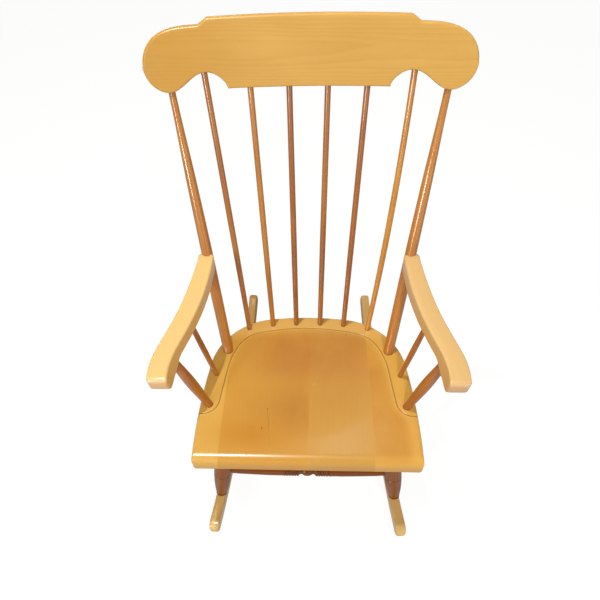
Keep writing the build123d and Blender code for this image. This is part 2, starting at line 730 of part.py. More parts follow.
def seat_boards():
    """The plank parted at its glue joints, from left to right."""
    plank = SEAT_TOP * (seat_plank() - saddle() - scribed_line())
    for hole in seat_sockets():
        plank = plank - hole
    edges = [-SEAT_WIDTH, *SEAT_SEAMS, SEAT_WIDTH]
    boards = []
    for left, right in zip(edges, edges[1:]):
        slab = Pos((left + right) / 2, 0, SEAT_HEIGHT) * Box(right - left, AMPLE, AMPLE)
        boards.append(plank & slab)
    return boards


def both_sides(name, piece):
    """The right piece and its mirror image, each under its own name."""
    return {f"{name}_right": piece, f"{name}_left": mirror(piece, about=Plane.YZ)}


def chair():
    nodes = {"crest_rail": crest_rail()}
    post = back_post() - screw_hole()
    nodes.update(both_sides("back_post", post))
    right_spindles = [back_spindle(*spindle) for spindle in SPINDLES]
    left_spindles = [mirror(spindle, about=Plane.YZ) for spindle in right_spindles]
    for number, spindle in enumerate(left_spindles[::-1] + right_spindles, start=1):
        nodes[f"back_spindle_{number}"] = spindle
    nodes.update(both_sides("arm", arm()))
    nodes.update(both_sides("arm_post", arm_post()))
    nodes.update(both_sides("arm_spindle", arm_spindle()))
    screw = arm_screw()
    nodes["arm_screws"] = Compound([screw, mirror(screw, about=Plane.YZ)])
    plug = arm_screw_plug()
    nodes["arm_screw_plugs"] = Compound([plug, mirror(plug, about=Plane.YZ)])
    for number, board in enumerate(seat_boards(), start=1):
        nodes[f"seat_board_{number}"] = board
    nodes.update(both_sides("front_leg", front_leg()))
    nodes.update(both_sides("rear_leg", rear_leg()))
    nodes["front_stretcher"] = front_stretcher()
    nodes["rear_stretcher"] = plain_stretcher(REAR_RUN)
    nodes.update(both_sides("side_stretcher", plain_stretcher(SIDE_RUN)))
    nodes.update(both_sides("rocker", runner()))
    return nodes


os.makedirs("parts", exist_ok=True)
for node_name, shape in chair().items():
    export_step(shape, f"parts/{node_name}.step")
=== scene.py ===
import math

import bpy
import numpy as np
from mathutils import Matrix, Vector


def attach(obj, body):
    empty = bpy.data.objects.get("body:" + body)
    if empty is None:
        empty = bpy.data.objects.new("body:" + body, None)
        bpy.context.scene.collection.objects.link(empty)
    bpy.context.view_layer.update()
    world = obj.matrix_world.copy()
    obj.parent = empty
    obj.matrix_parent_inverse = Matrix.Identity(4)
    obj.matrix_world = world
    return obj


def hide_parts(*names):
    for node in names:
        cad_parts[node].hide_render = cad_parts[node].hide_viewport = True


# Rocking chair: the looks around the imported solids. Shapes are worked out in millimetres in the
# chair's frame (front towards -Y, Z up) and become metres when a mesh is made.
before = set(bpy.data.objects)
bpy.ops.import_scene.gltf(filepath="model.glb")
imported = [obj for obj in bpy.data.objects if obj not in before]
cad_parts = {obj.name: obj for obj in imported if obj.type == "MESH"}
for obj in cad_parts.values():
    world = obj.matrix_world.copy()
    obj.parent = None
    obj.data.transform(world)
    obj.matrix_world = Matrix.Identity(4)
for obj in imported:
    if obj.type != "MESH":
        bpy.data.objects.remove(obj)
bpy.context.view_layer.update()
MM = 0.001


# ---------------------------------------------------------------- frames and sizes of the chair

class Place:
    """A frame: an origin and three unit axes, for turning local points into the chair's frame."""

    def __init__(self, origin, x, z):
        self.origin = np.array(origin, float)
        self.x = unit(np.array(x, float))
        self.z = unit(np.array(z, float))
        self.y = np.cross(self.z, self.x)

    def out(self, points):
        """Local points (..., 3) in the chair's frame: the origin plus each coordinate along its axis."""
        points = np.asarray(points, float)
        axes = np.stack([self.x, self.y, self.z])
        return self.origin + points @ axes


def unit(v):
    v = np.asarray(v, float)
    return v / np.linalg.norm(v, axis=-1, keepdims=True)


SEAT_TILT = math.radians(3.6)
CREST_TILT = math.radians(20.0)
ARM_RISE = math.radians(2.86)
SEAT = Place((0, 0, 396.2), (1, 0, 0), (0, math.sin(SEAT_TILT), math.cos(SEAT_TILT)))
CREST = Place((0, 263.2, 960.5), (1, 0, 0), (0, -math.cos(CREST_TILT), math.sin(CREST_TILT)))
ARM = Place((0, -238.0, 628.0), (1, 0, 0), (0, -math.sin(ARM_RISE), math.cos(ARM_RISE)))

ARM_THICKNESS = 40.0
ARM_FRONT_X = 298.6
ARM_FRONT_BEND = (14.3, 89.3)
ARM_REAR_BEND = (12.0, -228.4)

SEAT_FRONT = -322.0
SEAT_REAR = 99.0
SEAT_THICKNESS = 40.0
SEAT_SEAMS = (-200.0, 7.0, 152.0)
CREST_BOW = 2400.0
CREST_THICKNESS = 21.0
RUNNER_TOE = math.radians(4.16)
RUNNER_RADIUS = 1000.0
RUNNER_HEIGHT = 37.0
RUNNER_WIDTH = 26.5
RUNNER_FRONT = -341.0
RUNNER_REAR = 437.2
RUNNER_BALANCE = -48.0
RUNNER_X = 222.0
RUNNER = Place(
    (RUNNER_X - math.tan(RUNNER_TOE) * RUNNER_BALANCE, RUNNER_BALANCE, 0),
    (-math.sin(RUNNER_TOE), math.cos(RUNNER_TOE), 0),
    (math.cos(RUNNER_TOE), math.sin(RUNNER_TOE), 0),
)


def seat_point(x, y, below=0.0):
    return SEAT.out((x, y, -below))


def crest_point(across, rise):
    """Middle of the crest rail's thickness, on its bow."""
    return CREST.out((across, rise, CREST_BOW - math.sqrt(CREST_BOW**2 - across**2)))


def runner_top(along):
    """Crown of the right runner at a place along the chair."""
    run = (along - RUNNER_BALANCE) / math.cos(RUNNER_TOE)
    crown = RUNNER_RADIUS - RUNNER_HEIGHT
    return RUNNER.out((run, RUNNER_RADIUS - math.sqrt(crown**2 - run**2), 0))


POST_FOOT = seat_point(208, -15)
POST_HEAD = crest_point(276, -8.2)
SPINDLES = (
    (seat_point(32, 74), crest_point(39, 0)),
    (seat_point(95, 70), crest_point(118, -1)),
    (seat_point(158, 57), crest_point(208, 27)),
)
FRONT_LEG = (runner_top(-279.5), seat_point(198, -233, SEAT_THICKNESS))
REAR_LEG = (runner_top(138.0), seat_point(158, 22, SEAT_THICKNESS))
LEG_GROOVE = 7.5
LEG_HEAD_RADIUS = 15.0
LEG_RING = 120.0
LEG_RING_RADIUS = 22.6
LEG_SHAPE = (
    (12, 15.4), (30, 18.0), (58, 20.4), (88, 21.9), (LEG_RING, LEG_RING_RADIUS), (150, 22.8),
    (200, 21.8), (250, 18.6),
)


def arm_joint():
    """Where the post's axis meets the plane of the arm's top."""
    low = (POST_FOOT - ARM.origin) @ ARM.z
    high = (POST_HEAD - ARM.origin) @ ARM.z
    return POST_FOOT + (POST_HEAD - POST_FOOT) * (-low / (high - low))


# ---------------------------------------------------------------- curves

def clamped_spline(points, first, last, per_span):
    """Points on the smooth cubic through the given ones, with chosen directions at its two ends.
    The second derivatives at the points solve one small linear system, as a bent batten does."""
    p = np.array(points, float)
    chord = np.linalg.norm(np.diff(p, axis=0), axis=1)
    n = len(p)
    system = np.zeros((n, n))
    right = np.zeros((n, p.shape[1]))
    slope = np.diff(p, axis=0) / chord[:, None]
    system[0, :2] = 2 * chord[0], chord[0]
    right[0] = 6 * (slope[0] - unit(first))
    system[-1, -2:] = chord[-1], 2 * chord[-1]
    right[-1] = 6 * (unit(last) - slope[-1])
    for i in range(1, n - 1):
        system[i, i - 1:i + 2] = chord[i - 1], 2 * (chord[i - 1] + chord[i]), chord[i]
        right[i] = 6 * (slope[i] - slope[i - 1])
    bend = np.linalg.solve(system, right)
    t = np.linspace(0, 1, per_span, endpoint=False)[None, :, None]
    a, b = p[:-1, None], p[1:, None]
    h = chord[:, None, None]
    ma, mb = bend[:-1, None], bend[1:, None]
    spans = (
        a * (1 - t) + b * t
        - h**2 / 6 * ((t - t**3) * mb + ((1 - t) - (1 - t) ** 3) * ma)
    )
    return np.vstack([spans.reshape(-1, p.shape[1]), p[-1:]])


def bezier(points, samples):
    """A cubic Bezier curve sampled evenly along its length."""
    p = np.array(points, float)
    t = np.linspace(0, 1, 4 * samples)[:, None]
    curve = (1 - t) ** 3 * p[0] + 3 * t * (1 - t) ** 2 * p[1] + 3 * t**2 * (1 - t) * p[2] + t**3 * p[3]
    return evenly(curve, samples)


def evenly(curve, samples):
    """The same polyline with its points spread evenly along its length."""
    return along_line(curve, np.linspace(0, 1, samples))


def along_line(line, shares):
    """Places on a polyline at shares of its length."""
    run = lengths(line)
    return np.stack([np.interp(shares, run / run[-1], line[:, k]) for k in range(line.shape[1])], -1)


def lengths(curve):
    step = np.linalg.norm(np.diff(curve, axis=0), axis=1)
    return np.concatenate([[0.0], np.cumsum(step)])


def rounded_path(points, radii, step):
    """A polyline whose inner corners are arcs of the given radii: each arc is tangent to both of its runs."""
    p = [np.array(q, float) for q in points]
    pieces = [p[0][None]]
    for before, corner, after, radius in zip(p, p[1:], p[2:], radii):
        u, v = unit(before - corner), unit(after - corner)
        half = math.acos(np.clip(u @ v, -1, 1)) / 2
        cut = radius / math.tan(half)
        centre = corner + unit(u + v) * radius / math.sin(half)
        start, end = corner + u * cut - centre, corner + v * cut - centre
        sweep = math.pi - 2 * half
        t = np.linspace(0, 1, max(4, int(sweep * radius / step)))[:, None]
        arc = (np.sin((1 - t) * sweep) * start + np.sin(t * sweep) * end) / math.sin(sweep)
        pieces.append(centre + arc)
    pieces.append(p[-1][None])
    joined = np.vstack(pieces)
    return evenly(joined, int(lengths(joined)[-1] / step) + 2)


def hermite(xs, ys, at):
    """Values on the smooth curve through (x, y) pairs, by cubic blends of the slopes. The curve is level
    at both ends and keeps its end values beyond them."""
    xs, ys, at = np.array(xs, float), np.array(ys, float), np.asarray(at, float)
    slope = np.gradient(ys, xs)
    slope[0] = slope[-1] = 0.0
    i = np.clip(np.searchsorted(xs, at) - 1, 0, len(xs) - 2)
    h = xs[i + 1] - xs[i]
    t = np.clip((at - xs[i]) / h, 0, 1)
    return (
        (2 * t**3 - 3 * t**2 + 1) * ys[i]
        + (t**3 - 2 * t**2 + t) * h * slope[i]
        + (-2 * t**3 + 3 * t**2) * ys[i + 1]
        + (t**3 - t**2) * h * slope[i + 1]
    )


def quarter_drop(distance, radius):
    """How far a rounded edge falls below the face at a distance inwards from the edge: a quarter circle."""
    inside = np.clip(radius - distance, 0, radius)
    return radius - np.sqrt(radius**2 - inside**2)


def smoothstep(t):
    t = np.clip(t, 0, 1)
    return t * t * (3 - 2 * t)


# ---------------------------------------------------------------- meshes

def grid_quads(rows, columns, wrap=False, first=0):
    """Corner numbers of the quads between neighbouring rows and columns of a grid of points."""
    index = first + np.arange(rows * columns).reshape(rows, columns)
    if wrap:
        index = np.hstack([index, index[:, :1]])
    return np.stack([index[:-1, :-1], index[:-1, 1:], index[1:, 1:], index[1:, :-1]], -1).reshape(-1, 4)


def make_piece(name, points, faces, wood, material, nodes, masks, sharp=40.0):
    """A mesh from points in millimetres. The wood attribute holds each point's place in the straight
    blank that the piece was cut or turned from, so that the grain follows the piece, and each mask a
    value at each point for its finish."""
    mesh = bpy.data.meshes.new(name)
    mesh.from_pydata((np.asarray(points) * MM).tolist(), [], faces)
    grain = mesh.attributes.new("wood", "FLOAT_VECTOR", "POINT")
    grain.data.foreach_set("vector", (np.asarray(wood) * MM).astype(np.float32).ravel())
    for key, values in masks.items():
        layer = mesh.attributes.new(key, "FLOAT", "POINT")
        layer.data.foreach_set("value", np.asarray(values, np.float32).ravel())
    mesh.polygons.foreach_set("use_smooth", np.ones(len(mesh.polygons), bool))
    mesh.set_sharp_from_angle(angle=math.radians(sharp))
    mesh.update()
    piece = bpy.data.objects.new(name, mesh)
    bpy.context.scene.collection.objects.link(piece)
    mesh.materials.append(material)
    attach(piece, "root")
    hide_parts(*nodes)


def capped_tube(rows, columns):
    """Faces of a grid whose columns run round in a loop, with a flat face over its first and last row."""
    faces = [tuple(q) for q in grid_quads(rows, columns, wrap=True).tolist()]
    last = (rows - 1) * columns
    return [*faces, tuple(range(columns))[::-1], tuple(range(last, last + columns))]


def mirrored(points, faces):
    """The same surface on the other side of the middle plane, its faces turned round to point outwards."""
    flipped = np.array(points) * (-1, 1, 1)
    return flipped, [tuple(face)[::-1] for face in faces]


def turned(start, end, stations, around=40, step=3.0, before=0.0, after=0.0, bow=(0, 0, 0)):
    """A turned piece: at each distance along the axis, a circle whose radius follows the stations.
    The circle's centre may bow aside from the straight axis by a parabola. Poles close both ends."""
    axis = end - start
    length = np.linalg.norm(axis)
    axis = axis / length
    side = unit(np.cross(axis, (0.0, -1.0, 0.35)))
    front = np.cross(side, axis)
    at = np.array([s[0] for s in stations], float)
    along = np.unique(np.concatenate([np.arange(-before, length + after, step), at, [length + after]]))
    radius = hermite(at, [s[1] for s in stations], along)
    angle = np.linspace(0, 2 * math.pi, around, endpoint=False)
    share = np.clip(along / length, 0, 1)[:, None, None]
    circle = np.cos(angle)[:, None] * front + np.sin(angle)[:, None] * side
    centre = start + along[:, None, None] * axis + 4 * share * (1 - share) * np.array(bow, float)
    points = centre + radius[:, None, None] * circle
    wide = radius[:, None]
    local = np.stack(np.broadcast_arrays(wide * np.cos(angle), wide * np.sin(angle), along[:, None]), -1)
    rows = len(along)
    low_pole, high_pole, last = rows * around, rows * around + 1, (rows - 1) * around
    faces = [tuple(q) for q in grid_quads(rows, around, wrap=True).tolist()]
    faces += [(low_pole, k, (k - 1) % around) for k in range(around)]
    faces += [(high_pole, last + (k - 1) % around, last + k) for k in range(around)]
    points = np.vstack([points.reshape(-1, 3), centre[0, 0], centre[-1, 0]])
    local = np.vstack([local.reshape(-1, 3), [0, 0, along[0]], [0, 0, along[-1]]])
    return points, faces, local, length


def slab(plan, top, bottom, place, bend=None):
    """A solid from a grid of places in plan with a height above and below each: upper face, lower face
    and a wall that joins their edges. The local points are kept as the wood's own coordinates."""
    rows, columns = plan.shape[:2]
    upper = np.dstack([plan, top]).reshape(-1, 3)
    lower = np.dstack([plan, bottom]).reshape(-1, 3)
    count = rows * columns
    index = np.arange(count).reshape(rows, columns)
    loop = np.concatenate([index[0, :-1], index[:-1, -1], index[-1, :0:-1], index[:0:-1, 0]])
    after = np.roll(loop, -1)
    quads = np.vstack([
        grid_quads(rows, columns),
        grid_quads(rows, columns, first=count)[:, ::-1],
        np.stack([after, loop, loop + count, after + count], -1),
    ])
    local = np.vstack([upper, lower])
    shaped = local if bend is None else bend(local)
    return place.out(shaped), [tuple(q) for q in quads.tolist()], local


# ---------------------------------------------------------------- finishes

ORIGIN = (0.0, 0.0, 0.0)


def group_of(name, inputs, outputs):
    """An empty node group: inputs by name with their first values, outputs by name, all of them numbers
    apart from inputs whose first value is a point. Also gives its input and output nodes."""
    group = bpy.data.node_groups.new(name, "ShaderNodeTree")
    for label, value in inputs.items():
        kind = "NodeSocketVector" if isinstance(value, tuple) else "NodeSocketFloat"
        group.interface.new_socket(label, in_out="INPUT", socket_type=kind).default_value = value
    for label in outputs:
        group.interface.new_socket(label, in_out="OUTPUT", socket_type="NodeSocketFloat")
    return group, group.nodes.new("NodeGroupInput"), group.nodes.new("NodeGroupOutput")


class Nodes:
    """Short ways to add and join nodes in one tree."""

    def __init__(self, tree):
        self.tree = tree

    def add(self, kind, **settings):
        node = self.tree.nodes.new("ShaderNode" + kind)
        for key, value in settings.items():
            setattr(node, key, value)
        return node

    def join(self, source, target):
        self.tree.links.new(source, target)

    def feed(self, node, **inputs):
        """Sets or links a node's inputs by name, with _ for a space."""
        for key, value in inputs.items():
            self.put(node.inputs[key.replace("_", " ")], value)
        return node

    def use(self, group, **inputs):
        """A node group placed in this tree, with its inputs set."""
        node = self.add("Group")
        node.node_tree = group
        return self.feed(node, **inputs)

    def put(self, socket, value):
        if isinstance(value, bpy.types.NodeSocket):
            self.join(value, socket)
        else:
            socket.default_value = value

    def show_either(self, share, first, second, output):
        """Sends the output a blend of two shaders: the first where the share is 0, the second where 1."""
        blend = self.add("MixShader")
        self.join(share, blend.inputs[0])
        self.join(first.outputs[0], blend.inputs[1])
        self.join(second.outputs[0], blend.inputs[2])
        self.join(blend.outputs[0], self.add(output).inputs["Surface"])

    def maths(self, operation, a, b=0.0, clamp=False):
        node = self.add("Math", operation=operation, use_clamp=clamp)
        self.put(node.inputs[0], a)
        self.put(node.inputs[1], b)
        return node.outputs[0]

    def times(self, a, b, clamp=False):
        return self.maths("MULTIPLY", a, b, clamp)

    def mask(self, name):
        """A value kept at each point of the mesh."""
        return self.add("Attribute", attribute_name=name).outputs["Fac"]

    def wood(self):
        """Each point's place in its blank."""
        return self.add("Attribute", attribute_name="wood").outputs["Vector"]

    def vector(self, operation, a, b=ORIGIN):
        """Vector maths. Lengths and dot products come out as values, and a scale takes its factor as b."""
        node = self.add("VectorMath", operation=operation)
        self.put(node.inputs[0], a)
        self.put(node.inputs["Scale"] if operation == "SCALE" else node.inputs[1], b)
        return node.outputs["Value" if operation in ("DOT_PRODUCT", "LENGTH") else "Vector"]

    def mix(self, factor, a, b, blend="MIX"):
        node = self.add("Mix", data_type="RGBA", blend_type=blend)
        self.put(node.inputs["Factor"], factor)
        self.put(node.inputs[6], a)
        self.put(node.inputs[7], b)
        return node.outputs[2]

    def noise(self, vector, scale, detail=2.0, roughness=0.5, distortion=0.0):
        node = self.add("TexNoise")
        self.feed(node, Vector=vector, Scale=scale, Detail=detail, Roughness=roughness)
        return self.feed(node, Distortion=distortion).outputs["Fac"]

    def stretch(self, vector, scale, location=(0, 0, 0)):
        node = self.add("Mapping")
        return self.feed(node, Vector=vector, Scale=scale, Location=location).outputs[0]

    def band(self, value, low, high, start=0.0, end=1.0):
        """A smooth step from start to end as the value goes from low to high."""
        node = self.add("MapRange", interpolation_type="SMOOTHSTEP")
        return self.feed(
            node, Value=value, From_Min=low, From_Max=high, To_Min=start, To_Max=end
        ).outputs[0]


def rgb(r, g, b):
    """An sRGB colour, given as 0 to 255, as a linear one."""
    channels = np.array([r, g, b]) / 255
    linear = np.where(channels <= 0.04045, channels / 12.92, ((channels + 0.055) / 1.055) ** 2.4)
    return (*linear.tolist(), 1.0)


def maple_figure():
    """Grain of maple, read from a point's place in its blank, whose long way is the third coordinate.
    Growth rings are bands across the distance from a wandering pith, fibres are noise drawn out along
    the blank, flecks are short dark dashes, and stain lies in soft clouds."""
    group, ins, outs = group_of(
        "maple_figure", {"Place": ORIGIN, "Ring Width": 0.006, "Waver": 0.012, "Pith": ORIGIN},
        ("Rings", "Fibre", "Fleck", "Cloud", "Height"),
    )
    n = Nodes(group)
    place = ins.outputs["Place"]
    slow = n.stretch(place, (1.0, 1.0, 0.16))
    sway = n.add("TexNoise")
    n.feed(sway, Vector=slow, Scale=14.0, Detail=3.0, Roughness=0.45)
    swayed = n.vector("SUBTRACT", sway.outputs["Color"], (0.5, 0.5, 0.5))
    aside = n.vector("SCALE", swayed, ins.outputs["Waver"])
    from_pith = n.vector("SUBTRACT", n.vector("ADD", place, aside), ins.outputs["Pith"])
    reach = n.vector("LENGTH", n.stretch(from_pith, (1.0, 1.0, 0.045)))
    turns = n.maths("DIVIDE", reach, ins.outputs["Ring Width"])
    phase = n.maths("FRACT", turns)
    rising = n.band(phase, 0.1, 0.86)
    falling = n.band(phase, 0.88, 1.0)
    rings = n.maths("SUBTRACT", rising, falling, clamp=True)
    fibre = n.noise(n.stretch(place, (1.0, 1.0, 0.022)), 950.0, 3.0, 0.6)
    fine = n.noise(n.stretch(place, (1.0, 1.0, 0.05)), 2600.0, 2.0, 0.6)
    fibres = n.maths("ADD", n.times(fibre, 0.65), n.times(fine, 0.35))
    dash = n.add("TexVoronoi", feature="F1")
    n.feed(dash, Vector=n.stretch(place, (1.0, 1.0, 0.12)), Scale=420.0, Randomness=1.0)
    fleck = n.band(dash.outputs["Distance"], 0.10, 0.22, 1.0, 0.0)
    patchy = n.noise(n.stretch(place, (1.0, 1.0, 0.3)), 60.0, 2.0)
    fleck = n.times(fleck, n.band(patchy, 0.5, 0.7), clamp=True)
    cloud = n.noise(n.stretch(place, (1.0, 1.0, 0.45)), 16.0, 3.0, 0.55, 0.4)
    height = n.maths("ADD", n.times(fibres, 0.7), n.times(fleck, -0.6))
    n.feed(outs, Rings=rings, Fibre=fibres, Fleck=fleck, Cloud=cloud, Height=height)
    return group


def worn_finish():
    """Marks of use in the lacquer: a mask of fine scratches, and a soft mask of dulled places."""
    group, ins, outs = group_of("worn_finish", {"Place": ORIGIN}, ("Scuffs", "Dulling"))
    n = Nodes(group)
    place = ins.outputs["Place"]
    scratch = n.add("TexWave", wave_type="BANDS", bands_direction="DIAGONAL")
    n.feed(scratch, Vector=place, Scale=34.0, Distortion=14.0, Detail=4.0, Detail_Scale=1.6)
    thin = n.band(scratch.outputs["Fac"], 0.985, 1.0)
    few = n.band(n.noise(place, 22.0, 3.0), 0.56, 0.66)
    dulling = n.band(n.noise(place, 9.0, 4.0, 0.6), 0.35, 0.75)
    n.feed(outs, Scuffs=n.times(thin, few, clamp=True), Dulling=dulling)
    return group


def fine_mark():
    """A short scratch or dent: a mask that is 1 within half a width of the line between two places."""
    group, ins, outs = group_of(
        "fine_mark", {"Place": ORIGIN, "Start": ORIGIN, "End": (0.0, 0.0, 0.01), "Width": 0.001}, ("Mark",),
    )
    n = Nodes(group)
    flat = n.stretch(ins.outputs["Place"], (1.0, 0.0, 1.0))
    off = n.vector("SUBTRACT", flat, ins.outputs["Start"])
    way = n.vector("SUBTRACT", ins.outputs["End"], ins.outputs["Start"])
    along = n.vector("DOT_PRODUCT", off, way)
    square = n.vector("DOT_PRODUCT", way, way)
    share = n.maths("DIVIDE", along, square, clamp=True)
    beyond = n.vector("SUBTRACT", off, n.vector("SCALE", way, share))
    reach = n.maths("DIVIDE", n.vector("LENGTH", beyond), ins.outputs["Width"])
    n.feed(outs, Mark=n.band(reach, 0.35, 0.75, 1.0, 0.0))
    return group


MAPLE_FIGURE = maple_figure()
WORN_FINISH = worn_finish()
FINE_MARK = fine_mark()


def new_paint(name):
    """A material with an empty tree, and its nodes."""
    material = bpy.data.materials.new(name)
    material.use_nodes = True
    material.node_tree.nodes.clear()
    return material, Nodes(material.node_tree)


def lacquered_maple(
    name, pale, deep, ring_width, waver, pith, rings, fibre=0.35, clouds=0.4, flecks=0.25,
    roughness=0.42, coat=1.0, coat_roughness=0.22, coat_bend=1.5, blank=True, shift=ORIGIN, finish=None,
):
    """Stained maple under clear lacquer. Pale early wood runs into deep late wood; clouds of stain,
    fibres and flecks vary it, and the joint mask darkens it: finish gathered at joints, and painted shade
    where pieces meet, in the cut lines of turned pieces and in the seat's scribed groove. The coat is a
    number or the name of a mask, and a solid that has no blank reads its grain from its place in the chair."""
    material, n = new_paint(name)
    source = n.wood() if blank else n.add("TexCoord").outputs["Object"]
    place = n.stretch(source, (1, 1, 1), shift)
    figure = n.use(MAPLE_FIGURE, Place=place, Ring_Width=ring_width, Waver=waver, Pith=pith)
    worn = n.use(WORN_FINISH, Place=place)
    late = n.times(figure.outputs["Rings"], rings)
    fibres = n.times(n.maths("SUBTRACT", figure.outputs["Fibre"], 0.5), fibre)
    stain = n.times(n.maths("SUBTRACT", figure.outputs["Cloud"], 0.5), 2 * clouds)
    depth = n.maths("ADD", n.maths("ADD", late, fibres), n.maths("ADD", stain, 0.3), clamp=True)
    colour = n.mix(depth, pale, deep)
    colour = n.mix(n.times(figure.outputs["Fleck"], flecks), colour, deep, "MULTIPLY")
    if finish is not None:
        colour = finish(n, colour)
    if blank:
        # Joint mask: finish gathered at joints, and painted shade where pieces meet and in grooves.
        colour = n.mix(n.times(n.mask("joint"), 0.8), colour, (0.10, 0.035, 0.01, 1.0))
    colour = n.mix(n.times(worn.outputs["Scuffs"], 0.12), colour, (0.9, 0.78, 0.55, 1.0))
    shader = n.add("BsdfPrincipled")
    dull = n.times(worn.outputs["Dulling"], 0.12)
    bump = n.feed(n.add("Bump"), Strength=0.25, Distance=0.0002, Height=figure.outputs["Height"])
    n.feed(
        shader, Base_Color=colour, Roughness=n.maths("ADD", dull, roughness), IOR=1.45,
        Specular_IOR_Level=0.12, Coat_Weight=n.mask(coat) if isinstance(coat, str) else coat,
        Coat_Roughness=coat_roughness, Coat_IOR=coat_bend, Normal=bump.outputs["Normal"],
    )
    n.join(shader.outputs["BSDF"], n.add("OutputMaterial").inputs["Surface"])
    return material


# ---------------------------------------------------------------- turned pieces

def amber(name, number, tone=0.0, gold=0.0, coat=1.0):
    """Amber-stained turned maple, each piece with its own part of the grain. Tone darkens the colour: a
    deeper stain on the pieces above the seat, and painted shade on the legs and stretchers under it. Gold
    lets more of the honey wood show."""
    pale = rgb(206 - 40 * tone + 24 * gold, 132 - 34 * tone + 28 * gold, 52 - 18 * tone + 4 * gold)
    deep = rgb(150 - 34 * tone + 26 * gold, 80 - 24 * tone + 24 * gold, 28 - 10 * tone)
    return lacquered_maple(
        name, pale, deep, ring_width=0.0042, waver=0.006, pith=(0.012, 0.004, 0.0), rings=0.3,
        fibre=0.5, clouds=0.6, flecks=0.35, roughness=0.4, coat=coat, coat_roughness=0.2, coat_bend=1.7,
        shift=(0.037 * number, 0.051 * number, 0.21 * number),
    )


def add_turned(
    name, number, start, end, stations, joints, side=1, tone=0.0, gold=0.0, coat=1.0, on_seat=False,
    lines=(), **shape,
):
    """A turned piece in its place, dark where it enters its neighbours and at its cut lines, which are
    pairs of a distance along the piece and a width. The dark ends are partly finish gathered at the joints
    and partly painted contact shade, and the dark cut lines are painted shade."""
    points, faces, local, length = turned(start, end, stations, **shape)
    along = local[:, 2]
    from_foot = (points - SEAT.origin) @ SEAT.z if on_seat else along
    # Darker ends: partly finish gathered at the joints, partly painted contact shade; the cut lines below are
    # painted shade.
    near = np.exp(-np.clip(from_foot, 0, None) / joints[0])
    near = near + np.exp(-np.clip(length - along, 0, None) / joints[1])
    for line, width in lines:
        near = near + 0.9 * np.exp(-(((along - line) / width) ** 2))
    if side < 0:
        points, faces = mirrored(points, faces)
    material = amber(name + "_finish", number, tone, gold, coat)
    make_piece(name, points, faces, local, material, [name], {"joint": np.clip(near, 0, 1)})


def side_name(side):
    return "right" if side > 0 else "left"


def add_pair(name, number, start, end, stations, **look):
    """The same turned piece on the left and on the right, each with its own part of the grain."""
    for side in (-1, 1):
        add_turned(f"{name}_{side_name(side)}", number + side, start, end, stations, side=side, **look)


# tone and gold of each spindle, from the left
SPINDLE_TONES = {
    1: (0.3, 0.3), 2: (0.1, 0.6), 3: (0.45, 0.0), 4: (0.35, 0.2), 5: (0.4, 0.1), 6: (0.0, 1.1),
}
BENT_SPINDLE, BENT_SPINDLE_BOW = 6, 6.4


def add_back():
    """Two thick posts and six thin spindles between the seat and the crest rail."""
    length = np.linalg.norm(POST_HEAD - POST_FOOT)
    shape = ((0, 13.0), (250, 13.2), (430, 11.1), (length, 7.1))
    add_pair(
        "back_post", 2, POST_FOOT, POST_HEAD, shape, around=48, before=20, after=18,
        joints=(3.2, 3.0), gold=0.55, on_seat=True,
    )
    for place, (foot, head) in enumerate(SPINDLES):
        length = np.linalg.norm(head - foot)
        shape = ((0, 6.5), (210, 7.0), (length, 6.3))
        for side in (-1, 1):
            number = 4 + place if side > 0 else 3 - place
            bow = (BENT_SPINDLE_BOW, 0, 0) if number == BENT_SPINDLE else (0, 0, 0)
            tone, gold = SPINDLE_TONES[number]
            add_turned(
                f"back_spindle_{number}", 10 + number, foot, head, shape, side=side, around=32,
                before=18, after=18, joints=(3.2, 3.0), tone=tone, gold=gold, on_seat=True, bow=bow,
            )


def arm_line(samples):
    """Middle of the right arm in the plane of its top, from the back post to the front end."""
    joint = arm_joint() - ARM.origin
    rear = np.array([joint @ ARM.x, joint @ ARM.y])
    front = np.array([ARM_FRONT_X, 0.0])
    return bezier([rear, rear + ARM_REAR_BEND, front + ARM_FRONT_BEND, front], samples)


def arm_underside(share):
    """Middle of the arm's lower face, at a share of its length from the post."""
    return ARM.out((*along_line(arm_line(401), share), -ARM_THICKNESS))


def add_arm_supports():
    """A thick post and a thin spindle under each arm, both slightly swelled at mid height."""
    for name, number, foot, share, end, middle in (
        ("arm_post", 20, (236, -177), 0.775, 9.6, 12.4),
        ("arm_spindle", 24, (229, -91), 0.5, 5.8, 7.0),
    ):
        start, top = seat_point(*foot), arm_underside(share)
        length = np.linalg.norm(top - start)
        shape = ((0, end), (length / 2, middle), (length, end))
        add_pair(
            name, number, start, top, shape, before=16, after=14, joints=(3.2, 5.0), tone=0.1, on_seat=True,
        )


def ringed(stations, rings, radius, depth, width):
    """Stations with a V-shaped ring cut at each of the given distances, between level shoulders."""
    cut = []
    for ring in rings:
        cut += [(ring + share * width, radius - depth * (share == 0)) for share in (-1, -0.5, 0, 0.5, 1)]
    kept = [s for s in stations if all(abs(s[0] - ring) > width for ring in rings)]
    return tuple(sorted(kept + cut))


def add_legs():
    """Swelled legs with a ring cut near the thickest part and a groove just above the foot."""
    for name, number, (foot, head) in (("front_leg", 30, FRONT_LEG), ("rear_leg", 34, REAR_LEG)):
        length = np.linalg.norm(head - foot)
        stations = ((0, 15.0), (5, 15.2), (LEG_GROOVE, 14.0), *LEG_SHAPE, (length, LEG_HEAD_RADIUS))
        # tone=0.9 is painted shade under the seat, and the groove and ring lines are painted shade in the
        # cuts.
        add_pair(
            name, number, foot, head, ringed(stations, (LEG_RING,), LEG_RING_RADIUS, depth=1.5, width=3.0),
            around=56, step=1.5, before=2.5, after=10, joints=(3.0, 12.0), tone=0.9, coat=0.3,
            lines=((LEG_GROOVE, 2.2), (LEG_RING, 1.8)),
        )


